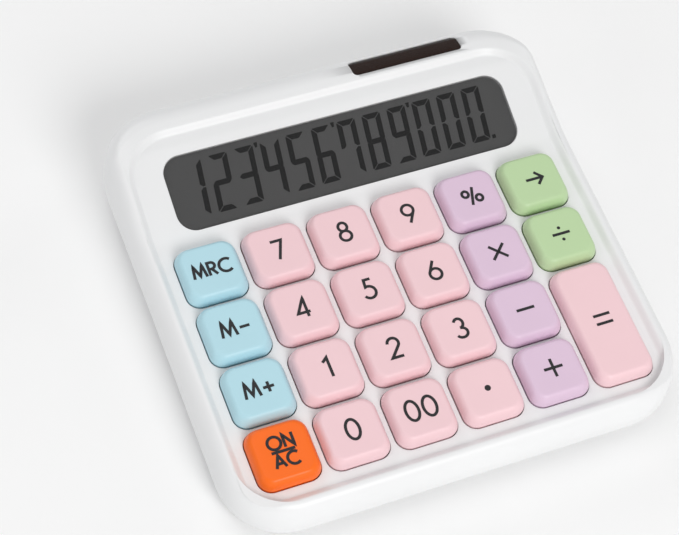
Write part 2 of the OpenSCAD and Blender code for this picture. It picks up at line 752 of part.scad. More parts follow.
module key_mrc() keycap(0, 0, sky_blue);
module key_m_minus() keycap(0, 1, sky_blue);
module key_m_plus() keycap(0, 2, sky_blue);
module key_on_ac() keycap(0, 3, warm_orange);
module key_7() keycap(1, 0, blush_pink);
module key_4() keycap(1, 1, blush_pink);
module key_1() keycap(1, 2, blush_pink);
module key_0() keycap(1, 3, blush_pink);
module key_8() keycap(2, 0, blush_pink);
module key_5() keycap(2, 1, blush_pink);
module key_2() keycap(2, 2, blush_pink);
module key_00() keycap(2, 3, blush_pink);
module key_9() keycap(3, 0, blush_pink);
module key_6() keycap(3, 1, blush_pink);
module key_3() keycap(3, 2, blush_pink);
module key_point() keycap(3, 3, blush_pink);
module key_percent() keycap(4, 0, soft_lilac);
module key_multiply() keycap(4, 1, soft_lilac);
module key_minus() keycap(4, 2, soft_lilac);
module key_plus() keycap(4, 3, soft_lilac);
module key_backspace() keycap(5, 0, leaf_green);
module key_divide() keycap(5, 1, leaf_green);
module key_equals() keycap(5, 2, blush_pink, 2);

top_case();
rear_cover();
display_window();
lcd_glass();
lcd_reflector();
lcd_frame();
lcd_ribbon();
lcd_screws();
solar_window();
solar_cell();
solar_bracket();
solar_screws();
keypad_mat();
main_board();
controller_chip();
board_capacitors();
board_screws();
case_screws();
rubber_feet();
battery_cell();
battery_door();
contact_spring();
contact_plate();
battery_lead_red();
battery_lead_black();
solar_lead_red();
solar_lead_black();
key_mrc();
key_m_minus();
key_m_plus();
key_on_ac();
key_7();
key_4();
key_1();
key_0();
key_8();
key_5();
key_2();
key_00();
key_9();
key_6();
key_3();
key_point();
key_percent();
key_multiply();
key_minus();
key_plus();
key_backspace();
key_divide();
key_equals();
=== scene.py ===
"""Desk calculator: the visible pieces, built around the packed frame.

Shapes are worked out in millimetres on a level key deck, and are then placed on the tilted
deck, in metres.
"""

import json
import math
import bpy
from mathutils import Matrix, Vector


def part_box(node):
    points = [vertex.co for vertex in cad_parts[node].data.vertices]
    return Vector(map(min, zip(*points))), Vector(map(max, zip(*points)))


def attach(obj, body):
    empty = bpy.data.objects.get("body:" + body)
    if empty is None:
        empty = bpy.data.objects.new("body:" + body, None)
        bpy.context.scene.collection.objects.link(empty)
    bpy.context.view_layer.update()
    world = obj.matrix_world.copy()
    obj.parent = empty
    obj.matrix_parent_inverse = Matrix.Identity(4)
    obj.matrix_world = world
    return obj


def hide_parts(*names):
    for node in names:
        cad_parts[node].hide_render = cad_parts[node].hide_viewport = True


bl_info = {
    "name": "Desk Calculator",
    "version": (1, 0, 0),
    "blender": (4, 5, 0),
    "location": "3D View > Sidebar > Calculator",
    "description": "Builds the shell, keys, display and fittings of a desk calculator",
    "category": "Add Mesh",
}

from types import SimpleNamespace

import bmesh
import bpy
from bpy.props import FloatProperty, FloatVectorProperty, PointerProperty
from mathutils import Matrix, Vector

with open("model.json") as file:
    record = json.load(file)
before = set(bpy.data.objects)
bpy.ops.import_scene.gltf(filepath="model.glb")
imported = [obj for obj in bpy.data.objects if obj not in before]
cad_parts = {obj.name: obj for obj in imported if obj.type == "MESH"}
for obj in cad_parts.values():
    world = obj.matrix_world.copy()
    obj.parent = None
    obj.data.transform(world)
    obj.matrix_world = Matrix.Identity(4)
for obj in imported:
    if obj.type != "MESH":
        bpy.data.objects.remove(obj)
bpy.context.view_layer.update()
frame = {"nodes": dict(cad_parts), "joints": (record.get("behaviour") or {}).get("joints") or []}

MM = 0.001
KEY_AXIS = frame["joints"][0]["axis"]
DECK_TILT = math.atan2(-KEY_AXIS[1], KEY_AXIS[2])


# ---------------------------------------------------------------- sizes and colours


def length(name, description, size):
    """A length, given in millimetres and kept in metres"""
    return FloatProperty(name=name, description=description, default=size * MM, unit="LENGTH", precision=5)


def angle(name, description, size):
    """An angle, given and kept in radians"""
    return FloatProperty(name=name, description=description, default=size, subtype="ANGLE")


def colour(name, description, red, green, blue):
    """A linear colour"""
    return FloatVectorProperty(
        name=name, description=description, default=(red, green, blue), size=3, min=0, max=1, subtype="COLOR"
    )


class CalculatorCase(bpy.types.PropertyGroup):
    """Sizes of the case, measured on the key deck"""

    tilt: angle("Deck tilt", "Slope of the key deck against the table", DECK_TILT)
    deck_height: length("Deck height", "Height of the deck over the table at the middle of the keys", 19.4)
    half_width: length("Half width", "Widest line of the case, from its middle", 75.1)
    front: length("Front", "Front of the case, from the middle of the keys", -52.35)
    back: length("Back", "Back of the case, from the middle of the keys", 96.545)
    corner: length("Corner", "Plan corner radius of the case", 21)
    tray_half_width: length("Tray half width", "Side of the sunk tray, from its middle", 69.1)
    tray_front: length("Tray front", "Front of the sunk tray", -46.35)
    tray_back: length("Tray back", "Back of the sunk tray", 80.945)
    tray_front_corner: length("Tray front corner", "Plan corner radius at the tray's front", 8)
    tray_back_corner: length("Tray back corner", "Plan corner radius at the tray's back", 15)
    rim_rise: length("Rim rise", "Height of the rim over the tray", 2)
    rim_round: length("Rim shoulder", "Width of the rounded shoulder at the sides", 4.6)
    back_round: length("Back shoulder", "Width of the rounded shoulder at the back", 12)
    rim_slope_in: length("Rim slope, inside", "How far the rim's slope runs into the tray", 1.1)
    rim_slope_out: length("Rim slope, outside", "How far the rim's slope runs out of the tray", 1.36)
    widest: length("Widest line", "Level of the widest line against the deck", -7)
    seam: length("Seam", "Level of the seam against the deck", -11)
    seam_gap: length("Seam gap", "Gap between the two shells", 0.15)
    wall: length("Wall", "Thickness of the wall", 4.2)
    deck_thickness: length("Deck thickness", "Thickness of the key deck", 2)
    base: length("Base", "Height of the rear cover's underside over the table", 1.5)
    floor: length("Floor", "Thickness of the rear cover's floor", 2.4)
    base_inset: length("Base inset", "How far the rear cover curves in at its foot", 7)
    cover_step: length("Cover step", "Step in from the top case to the rear cover", 0.3)
    edge: length("Edge", "Softening of the cover's recesses and seam", 0.25)
    screw_seat: length("Screw seat", "Level of the screw heads' seats against the deck", -11.4)
    screw_recess: length("Screw recess", "Radius of the recess over a screw's head", 2.75)
    boss: length("Boss", "Radius of a screw boss", 4)
    boss_step: length("Boss step", "Level where a screw boss steps in", -10.4)
    boss_nose: length("Boss nose", "Radius of a screw boss above its step", 3)
    boss_top: length("Boss top", "Level of a screw boss's top", -7.6)
    foot_radius: length("Foot radius", "Radius of a rubber foot", 4.5)
    foot_play: length("Foot play", "Gap round a foot in its recess", 0.1)
    foot_sink: length("Foot recess", "Depth of a foot's recess", 0.6)
    foot_x: length("Foot, sideways", "A foot's distance from the middle, sideways", 55.1)
    foot_y: length("Foot, lengthways", "A foot's distance from the middle, lengthways", 54.447)


class CalculatorKeys(bpy.types.PropertyGroup):
    """Sizes of the keycaps"""

    size: length("Keycap", "Side of a keycap at the deck", 20)
    pitch_x: length("Pitch, sideways", "Distance between keys, side to side", 22)
    pitch_y: length("Pitch, lengthways", "Distance between keys, front to back", 21.5)
    corner: length("Corner", "Plan corner radius of a keycap", 4.4)
    rise: length("Rise", "Height of a keycap over the deck", 4.4)
    skirt: length("Skirt", "Depth of a keycap's skirt under the deck", 3.4)
    plunger: length("Plunger", "Radius of the plunger inside a keycap", 2.9)
    plunger_depth: length("Plunger depth", "Depth of the plunger under the deck", 4)
    rib: length("Rib", "Thickness of the ribs inside a keycap", 1)
    rib_depth: length("Rib depth", "Depth of the ribs under the deck", 1.6)
    tab: length("Tab", "Length of a tab that holds a keycap in", 5)
    shoulder: length("Shoulder", "Width of the rounded shoulder round a keycap's top", 2.3)
    relief: length("Relief", "How far a keycap's skirt stands back from its base", 0.2)
    play: length("Play", "Gap between a keycap and its opening", 0.2)
    wall: length("Wall", "Thickness of a keycap's skirt", 1.7)
    crown: length("Crown", "Thickness of a keycap's top", 1.8)
    dish: length("Dish", "Depth of the hollow in a keycap's top", 0.16)
    lip: length("Lip", "Rounding of the deck at an opening", 0.15)
    stroke: length("Stroke", "Width of a legend's strokes", 0.92)
    ink: length("Ink", "Thickness of a printed legend", 0.03)


class CalculatorDisplay(bpy.types.PropertyGroup):
    """Sizes of the display, measured up its sloping face"""

    slope: angle("Slope", "Slope of the display face against the deck", math.radians(15))
    start: length("Start", "Where the face starts, from the middle of the keys", 47.25)
    length: length("Length", "Length of the face, up its slope", 29.5)
    window_width: length("Window width", "Width of the window", 117.4)
    window_length: length("Window length", "Length of the window", 25.2)
    window_corner: length("Window corner", "Plan corner radius of the window", 6)
    window_edge: length("Window edge", "Distance from the start of the face to the window", 1.6)
    window_thickness: length("Window thickness", "Thickness of the window", 1)
    window_rebate: length("Window rebate", "Depth of the rebate that holds the window", 1.2)
    window_ledge: length("Window ledge", "Width of the ledge under the window", 1.6)
    film_top: length("Film top", "Level of the dark film behind the window", -1.17)
    digit_height: length("Digit height", "Height of a digit", 18.9)
    digit_width: length("Digit width", "Width of a digit", 6.4)
    digit_pitch: length("Digit pitch", "Distance between digits", 8.8)
    digit_base: length("Digit base", "Foot of the digits, from the start of the face", 5.5)
    digit_end: length("Digit end", "Right edge of the last digit at its foot, from the middle", 49.2)
    segment: length("Segment", "Width of a digit's segment", 1.8)


class CalculatorPower(bpy.types.PropertyGroup):
    """Sizes of the solar pocket and the battery place"""

    solar_x: length("Solar place, sideways", "Middle of the solar pocket, sideways", 31)
    solar_y: length("Solar place, lengthways", "Middle of the solar pocket, lengthways", 87.045)
    solar_width: length("Solar width", "Width of the solar pocket", 38.8)
    solar_length: length("Solar length", "Length of the solar pocket", 6.8)
    solar_corner: length("Solar corner", "Plan corner radius of the solar pocket", 1.6)
    solar_ledge: length("Solar ledge", "Ledge under the solar cover", 0.8)
    solar_seat: length("Solar seat", "Level of the solar cover's underside", 4.4)
    solar_ceiling: length("Solar ceiling", "Level of the case's ceiling over the solar cell", 3.2)
    solar_cover_sunk: length("Solar cover sunk", "How far the solar cover lies under the rim", 0.45)
    bay_half_length: length("Bay half length", "Half of the battery bay, sideways", 26.25)
    bay_half_width: length("Bay half width", "Half of the battery bay, lengthways", 5.7)
    bay_corner: length("Bay corner", "Plan corner radius of the battery bay", 0.4)
    bay_wall: length("Bay wall", "Thickness of the battery bay's walls", 1.3)
    bay_top: length("Bay top", "Height of the battery bay's ceiling over the table", 15.3)
    door_thickness: length("Door thickness", "Thickness of the battery door", 1.6)
    door_play: length("Door play", "Gap round the battery door", 0.3)
    door_overlap: length("Door overlap", "How far the door runs past the bay at each end", 1.5)
    hinge_pin: length("Hinge pin", "Radius of the door's hinge pins", 0.5)
    hinge_reach: length("Hinge reach", "How far the hinge pins stand out of the door", 1.9)
    wire: length("Spring wire", "Radius of the contact spring's wire", 0.4)


class CalculatorColours(bpy.types.PropertyGroup):
    """Colours of the finished pieces"""

    shell: colour("Shell", "White plastic of the case", 0.84, 0.845, 0.85)
    blue: colour("Blue", "Memory keys", 0.48, 0.735, 0.82)
    pink: colour("Pink", "Number keys", 0.9, 0.628, 0.662)
    lilac: colour("Lilac", "Sign keys", 0.747, 0.565, 0.712)
    green: colour("Green", "Backspace and divide keys", 0.52, 0.695, 0.4)
    orange: colour("Orange", "Power key", 1.0, 0.165, 0.012)
    ink: colour("Ink", "Printed legends", 0.012, 0.012, 0.014)
    smoke: colour("Smoke", "Smoked display window", 0.02, 0.02, 0.021)
    cell: colour("Display cell", "Grey of the display cell", 0.19, 0.19, 0.19)
    film: colour("Display film", "Grey of the film behind the window", 0.27, 0.27, 0.27)
    segments: colour("Segments", "Dark segments of the digits", 0.02, 0.02, 0.02)
    solar: colour("Solar", "Dark brown of the solar cell", 0.03, 0.014, 0.01)
    solar_line: colour("Solar line", "Metal lines of the solar cell", 0.12, 0.09, 0.07)
    rubber: colour("Rubber", "Rubber of the feet", 0.02, 0.02, 0.021)
    steel: colour("Steel", "Screws, contacts and cell", 0.58, 0.58, 0.6)
    board: colour("Board", "Green of the circuit board", 0.015, 0.13, 0.05)
    silicone: colour("Silicone", "Keypad mat", 0.55, 0.55, 0.53)
    insert: colour("Insert", "Plain plastic of the inner frames", 0.62, 0.6, 0.52)
    foil: colour("Foil", "Reflector behind the display cell", 0.4, 0.4, 0.38)
    amber: colour("Amber", "Film of the display's ribbon", 0.42, 0.2, 0.04)
    resin: colour("Resin", "Chip and black wires", 0.012, 0.012, 0.012)
    red: colour("Red", "Red wires", 0.42, 0.01, 0.01)
    sleeve: colour("Sleeve", "Capacitors", 0.01, 0.02, 0.11)
    can: colour("Can", "Bare steel of the round cell", 0.6, 0.6, 0.62)
    wrapper: colour("Wrapper", "Sleeve of the round cell", 0.02, 0.05, 0.11)
    band: colour("Band", "Band round the cell's button end", 0.55, 0.33, 0.1)
    floor: colour("Floor", "Pale floor", 0.96, 0.96, 0.96)


class CalculatorStage(bpy.types.PropertyGroup):
    """Camera, floor and lights"""

    lens: FloatProperty(name="Lens", description="Focal length in mm, on a 36 mm sensor", default=102.77)
    roll: angle("Roll", "Turn of the camera about its own view", math.radians(7.657))
    camera: FloatVectorProperty(
        name="Camera", description="Place of the camera", subtype="TRANSLATION",
        default=(-0.17206, -0.29883, 0.52599),
    )
    target: FloatVectorProperty(
        name="Target", description="Point that the camera looks at", subtype="TRANSLATION",
        default=(-0.0155, 0.00063, 0.02),
    )
    floor_size: FloatProperty(name="Floor", description="Side of the pale floor", default=6, unit="LENGTH")
    sky: FloatProperty(name="Sky", description="Strength of the even light from all round", default=0.45)


SETTINGS = {
    "calculator_case": CalculatorCase,
    "calculator_keys": CalculatorKeys,
    "calculator_display": CalculatorDisplay,
    "calculator_power": CalculatorPower,
    "calculator_colours": CalculatorColours,
    "calculator_stage": CalculatorStage,
}


def sizes(context, name):
    """A settings group's values, with its lengths in millimetres"""
    group = getattr(context.scene, "calculator_" + name)
    values = {}
    for key in group.__annotations__:
        value = getattr(group, key)
        is_length = group.bl_rna.properties[key].unit == "LENGTH"
        values[key] = round(value / MM, 4) if is_length else value
    return SimpleNamespace(**values)


# ---------------------------------------------------------------- places


def case_middle(case):
    """Distance from the middle of the keys to the middle of the footprint, level with the table"""
    turn, lean = math.cos(case.tilt), math.sin(case.tilt)
    return ((case.back + case.front) * turn - (case.seam + case.widest) * lean) / 2


# From millimetres on the table to metres in the frame
TO_TABLE = Matrix.Scale(MM, 4)


def deck_place(case):
    """From the level deck to the tilted deck over the table, both in millimetres"""
    return Matrix.Translation((0, -case_middle(case), case.deck_height)) @ Matrix.Rotation(case.tilt, 4, "X")


def to_deck(case):
    """From millimetres on the level deck to metres in the frame"""
    return TO_TABLE @ deck_place(case)


def to_face(case, display):
    """From millimetres up the display face to metres in the frame"""
    place = Matrix.Translation((0, display.start, 0))
    return to_deck(case) @ place @ Matrix.Rotation(display.slope, 4, "X")


def box_of(node):
    """Lowest and highest corner of a CAD node, in millimetres on the table"""
    low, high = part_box(node)
    return low / MM, high / MM


def bay_middle():
    """Middle of the battery bay, in millimetres on the table"""
    low, high = box_of("battery_cell")
    return (low + high) / 2


# ---------------------------------------------------------------- outlines


def arc(x, y, radius_x, radius_y, start, end, steps=10):
    """Points on part of an ellipse, from one angle in degrees to another"""
    turns = [math.radians(start + (end - start) * k / steps) for k in range(steps + 1)]
    return [(x + radius_x * math.cos(t), y + radius_y * math.sin(t)) for t in turns]


def rounded_box(width, depth, radius, steps=8, middle=(0, 0)):
    """A rounded rectangle's outline, run to the left"""
    points = []
    for quarter, (side, end) in enumerate(((1, 1), (-1, 1), (-1, -1), (1, -1))):
        x = middle[0] + side * (width / 2 - radius)
        y = middle[1] + end * (depth / 2 - radius)
        points += arc(x, y, radius, radius, 90 * quarter, 90 * quarter + 90, steps)
    return points


def circle(x, y, radius, steps=32):
    """A circle's outline"""
    return arc(x, y, radius, radius, 0, 360, steps)[:-1]


def at_level(points, level):
    """Plan points at one level"""
    return [(x, y, level) for x, y in points]


def ramp(along, start, end, blend):
    """Distance run between start and end, with soft ends of blend to each side"""

    def run(distance):
        if distance <= -blend:
            return 0
        if distance >= blend:
            return distance
        return (distance + blend) ** 2 / (4 * blend)

    return run(along - start) - run(along - end)


def smooth(t):
    """An S from 0 to 1"""
    t = min(max(t, 0), 1)
    return t * t * (3 - 2 * t)


class Outline:
    """A plan outline of the case: its sides, ends and corner radii"""

    def __init__(self, half_width, front, back, front_corner, back_corner, back_depth=None):
        self.half_width = half_width
        self.front = front
        self.back = back
        self.front_corner = front_corner
        self.back_corner = back_corner
        self.back_depth = back_corner if back_depth is None else back_depth

    def stations(self, marks, corner_steps=12, side_steps=20):
        """Places along a side and its back corner, with one at each marked distance from the keys"""
        low, high = self.front + self.front_corner, self.back - self.back_depth
        straight = {k / side_steps for k in range(side_steps + 1)}
        curved = {90 * k / corner_steps for k in range(1, corner_steps + 1)}
        for mark in marks:
            if mark < high:
                straight.add((mark - low) / (high - low))
            else:
                curved.add(math.degrees(math.asin((mark - high) / self.back_depth)))
        return sorted(straight), sorted(curved)

    def points(self, stations, end_steps=4, corner_steps=12):
        """The outline's points, from the middle of the front round by the right"""
        straight, curved = stations
        x, y = self.half_width - self.front_corner, self.front + self.front_corner
        right = [(x * k / end_steps, self.front) for k in range(end_steps)]
        right += arc(x, y, self.front_corner, self.front_corner, -90, 0, corner_steps)[:-1]
        top = self.back - self.back_depth
        right += [(self.half_width, y + (top - y) * share) for share in straight]
        x = self.half_width - self.back_corner
        for turn in map(math.radians, curved):
            right.append((x + self.back_corner * math.cos(turn), top + self.back_depth * math.sin(turn)))
        right += [(x * (1 - k / end_steps), self.back) for k in range(1, end_steps + 1)]
        return right + [(-x, y) for x, y in right[-2:0:-1]]


def case_outline(case, inset, back_inset=None):
    """The case's outline, moved in by inset"""
    back_inset = inset if back_inset is None else back_inset
    return Outline(
        case.half_width - inset, case.front + inset, case.back - back_inset,
        case.corner - inset, case.corner - inset, case.corner - back_inset,
    )


# ---------------------------------------------------------------- mesh tools


def new_ring(bm, points):
    """A closed ring of vertices and edges"""
    ring = [bm.verts.new(point) for point in points]
    for here, there in zip(ring, ring[1:] + ring[:1]):
        bm.edges.new((here, there))
    return ring


def ring_edges(bm, ring):
    """The edges between a ring's vertices"""
    return [bm.edges.get(pair) for pair in zip(ring, ring[1:] + ring[:1])]


def draw_ring(bm, ring, points):
    """Extrudes a ring and moves the new ring to points"""
    made = bmesh.ops.extrude_edge_only(bm, edges=ring_edges(bm, ring))["geom"]
    fresh = {item for item in made if isinstance(item, bmesh.types.BMVert)}
    twins = []
    for vert, point in zip(ring, points, strict=True):
        twin = next(e.other_vert(vert) for e in vert.link_edges if e.other_vert(vert) in fresh)
        twin.co = point
        twins.append(twin)
    return twins


def draw_rings(bm, ring, rows):
    """Extrudes a ring through each row of points in turn"""
    for row in rows:
        ring = draw_ring(bm, ring, row)
    return ring


def cap_ring(bm, ring):
    """Closes a ring with one face"""
    bmesh.ops.contextual_create(bm, geom=ring_edges(bm, ring))


def fill_flat(bm, edges):
    """Fills a flat outline, leaving the loops inside it open"""
    bmesh.ops.triangle_fill(bm, use_beauty=True, use_dissolve=False, edges=edges)


def add_box(bm, low, high, matrix=Matrix()):
    """A box between two corners"""
    size = [b - a for a, b in zip(low, high)]
    middle = [(a + b) / 2 for a, b in zip(low, high)]
    place = matrix @ Matrix.Translation(middle) @ Matrix.Diagonal((*size, 1))
    return bmesh.ops.create_cube(bm, size=1, matrix=place)["verts"]


def add_rod(bm, radius, low, high, middle, sides=32, turn=Matrix()):
    """A cylinder from low to high along the axis that turn gives"""
    place = Matrix.Translation(middle) @ turn @ Matrix.Translation((0, 0, (low + high) / 2))
    made = bmesh.ops.create_cone(
        bm, cap_ends=True, segments=sides, radius1=radius, radius2=radius, depth=high - low, matrix=place
    )
    return made["verts"]


def bevel_edges(bm, edges, width, segments=3):
    """Rounds edges"""
    bmesh.ops.bevel(
        bm, geom=edges, offset=width, offset_type="OFFSET", segments=segments, profile=0.5,
        affect="EDGES", clamp_overlap=True, material=-1,
    )


def spin_profile(bm, profile, middle, steps=32):
    """Turns a profile of (radius, height) points round a vertical axis"""
    line = [bm.verts.new((middle[0] + r, middle[1], middle[2] + z)) for r, z in profile]
    edges = [bm.edges.new(pair) for pair in zip(line, line[1:])]
    bmesh.ops.spin(
        bm, geom=line + edges, cent=middle, axis=(0, 0, 1), angle=math.tau, steps=steps, use_merge=True
    )


def finish_mesh(bm, name, matrix, sharp=35):
    """Places a shape, turns its faces out and marks its sharp edges"""
    bmesh.ops.remove_doubles(bm, verts=bm.verts, dist=0.0005)
    bmesh.ops.transform(bm, matrix=matrix, verts=bm.verts)
    bmesh.ops.recalc_face_normals(bm, faces=bm.faces)
    for face in bm.faces:
        face.smooth = True
    for edge in bm.edges:
        if len(edge.link_faces) == 2 and edge.calc_face_angle() > math.radians(sharp):
            edge.smooth = False
    mesh = bpy.data.meshes.new(name)
    bm.to_mesh(mesh)
    bm.free()
    return mesh


def finish_piece(bm, name, matrix, material, body, slot, replaces=(), sharp=35, even=True):
    """Makes a shape into a piece that rides on a body"""
    piece = bpy.data.objects.new(name, finish_mesh(bm, name, matrix, sharp))
    bpy.context.scene.collection.objects.link(piece)
    piece.data.materials.append(material)
    if even:
        shading = piece.modifiers.new("Even shading", "WEIGHTED_NORMAL")
        shading.keep_sharp = True
    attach(piece, body)
    if replaces:
        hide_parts(*replaces)
    return piece


def cut_piece(piece, bm, matrix):
    """Cuts a closed shape out of a piece"""
    cutter = bpy.data.objects.new("cutter", finish_mesh(bm, "cutter", matrix))
    bpy.context.scene.collection.objects.link(cutter)
    cut = piece.modifiers.new("Cut", "BOOLEAN")
    cut.operation = "DIFFERENCE"
    cut.solver = "EXACT"
    cut.object = cutter
    piece.modifiers.move(len(piece.modifiers) - 1, 0)
    with bpy.context.temp_override(object=piece, active_object=piece, selected_objects=[piece]):
        bpy.ops.object.modifier_apply(modifier=cut.name)
    bpy.data.objects.remove(cutter)


# ---------------------------------------------------------------- materials


def new_group(name, inputs, outputs):
    """An empty node group with named sockets"""
    group = bpy.data.node_groups.new(name, "ShaderNodeTree")
    for socket, kind, value in inputs:
        made = group.interface.new_socket(socket, in_out="INPUT", socket_type="NodeSocket" + kind)
        made.default_value = value
    for socket, kind in outputs:
        group.interface.new_socket(socket, in_out="OUTPUT", socket_type="NodeSocket" + kind)
    return group


def add_node(tree, kind, inputs=None, **settings):
    """A node with its settings, its values and its links"""
    node = tree.nodes.new("ShaderNode" + kind)
    for name, value in settings.items():
        setattr(node, name, value)
    for name, value in (inputs or {}).items():
        if isinstance(value, bpy.types.NodeSocket):
            tree.links.new(value, node.inputs[name])
        else:
            node.inputs[name].default_value = value
    return node


def moulded_group():
    """Moulded plastic: soft shifts of tone, an uneven gloss and a fine spark-eroded grain"""
    found = bpy.data.node_groups.get("Moulded surface")
    if found:
        return found
    group = new_group(
        "Moulded surface",
        [
            ("Colour", "Color", (0.8, 0.8, 0.8, 1)), ("Tone", "Float", 0.03), ("Roughness", "Float", 0.4),
            ("Uneven gloss", "Float", 0.06), ("Grain size", "Float", 0.0004), ("Grain", "Float", 0.1),
        ],
        [("Colour", "Color"), ("Roughness", "Float"), ("Normal", "Vector")],
    )
    start = group.nodes.new("NodeGroupInput").outputs
    place = add_node(group, "TexCoord").outputs["Object"]
    clouds = add_node(group, "TexNoise", {"Vector": place, "Scale": 22, "Detail": 3})
    spread = add_node(group, "MapRange", {"Value": clouds.outputs["Fac"], "From Min": 0.3, "From Max": 0.7})
    darker = add_node(group, "Math", {0: 1, 1: start["Tone"]}, operation="SUBTRACT")
    share = add_node(
        group, "Mix", {"Factor": spread.outputs["Result"], "A": darker.outputs[0], "B": 1.0}, data_type="FLOAT"
    )
    toned = add_node(group, "VectorMath", {0: start["Colour"], "Scale": share.outputs[0]}, operation="SCALE")
    patches = add_node(group, "TexNoise", {"Vector": place, "Scale": 160, "Detail": 4})
    offset = add_node(group, "Math", {0: patches.outputs["Fac"], 1: 0.5}, operation="SUBTRACT")
    gloss = add_node(
        group, "Math", {0: offset.outputs[0], 1: start["Uneven gloss"], 2: start["Roughness"]},
        operation="MULTIPLY_ADD",
    )
    per_metre = add_node(group, "Math", {0: 1, 1: start["Grain size"]}, operation="DIVIDE")
    grain = add_node(group, "TexNoise", {"Vector": place, "Scale": per_metre.outputs[0], "Detail": 2})
    bump = add_node(
        group, "Bump", {"Strength": start["Grain"], "Distance": 0.00006, "Height": grain.outputs["Fac"]}
    )
    end = group.nodes.new("NodeGroupOutput")
    group.links.new(toned.outputs[0], end.inputs["Colour"])
    group.links.new(gloss.outputs[0], end.inputs["Roughness"])
    group.links.new(bump.outputs[0], end.inputs["Normal"])
    return group


def blend_colours(tree, factor, first, second):
    """The output of a mix of two colours; each is a colour or a socket"""
    ends = [end if isinstance(end, bpy.types.NodeSocket) else (*end, 1) for end in (first, second)]
    mix = add_node(tree, "Mix", {"Factor": factor, "A": ends[0], "B": ends[1]}, data_type="RGBA")
    return mix.outputs["Result"]


def times(colour, share):
    """A colour made lighter or darker"""
    return [part * share for part in colour]


def new_material(name):
    """An empty material with its shader joined to the output"""
    material = bpy.data.materials.new(name)
    material.use_nodes = True
    tree = material.node_tree
    tree.nodes.clear()
    shader = tree.nodes.new("ShaderNodeBsdfPrincipled")
    end = tree.nodes.new("ShaderNodeOutputMaterial")
    tree.links.new(shader.outputs["BSDF"], end.inputs["Surface"])
    return material, tree, shader


def moulded(name, colour, tone=0.03, roughness=0.4, grain=0.1, grain_size=0.0004, specular=0.5):
    """A moulded surface of one colour, made once for each name"""
    if name in bpy.data.materials:
        return bpy.data.materials[name]
    material, tree, shader = new_material(name)
    surface = tree.nodes.new("ShaderNodeGroup")
    surface.node_tree = moulded_group()
    surface.inputs["Colour"].default_value = (*colour, 1)
    surface.inputs["Tone"].default_value = tone
    surface.inputs["Roughness"].default_value = roughness
    surface.inputs["Grain"].default_value = grain
    surface.inputs["Grain size"].default_value = grain_size
    tree.links.new(surface.outputs["Colour"], shader.inputs["Base Color"])
    tree.links.new(surface.outputs["Roughness"], shader.inputs["Roughness"])
    tree.links.new(surface.outputs["Normal"], shader.inputs["Normal"])
    shader.inputs["Specular IOR Level"].default_value = specular
    return material


def shell_plastic(colours):
    """Satin white plastic of the case"""
    return moulded("shell_white", colours.shell, tone=0.02, roughness=0.38, grain=0.12)


def key_plastic(colours, tint):
    """Smooth satin plastic of a keycap"""
    return moulded("keycap_" + tint, getattr(colours, tint), roughness=0.36, grain=0.08, specular=0.3)


def ink(colours):
    """Matt printing ink"""
    return moulded("legend_ink", colours.ink, tone=0.15, roughness=0.5, grain=0.15)


def insert_plastic(colours):
    """Plain plastic of the frames inside the case"""
    return moulded("insert_plastic", colours.insert, tone=0.05, roughness=0.5)


def metal(name, colour, roughness=0.3):
    """Plated steel with fine drawn lines"""
    if name in bpy.data.materials:
        return bpy.data.materials[name]
    material, tree, shader = new_material(name)
    place = add_node(tree, "TexCoord").outputs["Object"]
    stretched = add_node(tree, "Mapping", {"Vector": place, "Scale": (300, 4000, 4000)})
    lines = add_node(tree, "TexNoise", {"Vector": stretched.outputs[0], "Scale": 1, "Detail": 3})
    tone = blend_colours(tree, lines.outputs["Fac"], times(colour, 0.8), colour)
    low, high = roughness - 0.06, roughness + 0.08
    gloss = add_node(tree, "MapRange", {"Value": lines.outputs["Fac"], "To Min": low, "To Max": high})
    tree.links.new(tone, shader.inputs["Base Color"])
    tree.links.new(gloss.outputs["Result"], shader.inputs["Roughness"])
    shader.inputs["Metallic"].default_value = 1
    return material


def clear_cover(name, colour, opacity):
    """A dark, clear cover: smooth, with faint wipe marks, and see-through by a share"""
    material, tree, shader = new_material(name)
    place = add_node(tree, "TexCoord").outputs["Object"]
    wipes = add_node(tree, "TexNoise", {"Vector": place, "Scale": 60, "Detail": 5, "Distortion": 1.5})
    gloss = add_node(tree, "MapRange", {"Value": wipes.outputs["Fac"], "To Min": 0.06, "To Max": 0.16})
    tone = blend_colours(tree, wipes.outputs["Fac"], times(colour, 0.85), colour)
    tree.links.new(tone, shader.inputs["Base Color"])
    tree.links.new(gloss.outputs["Result"], shader.inputs["Roughness"])
    shader.inputs["Alpha"].default_value = opacity
    shader.inputs["Specular IOR Level"].default_value = 0.35
    return material


SOLAR_CELLS = 4
SOLAR_LINE = 0.025


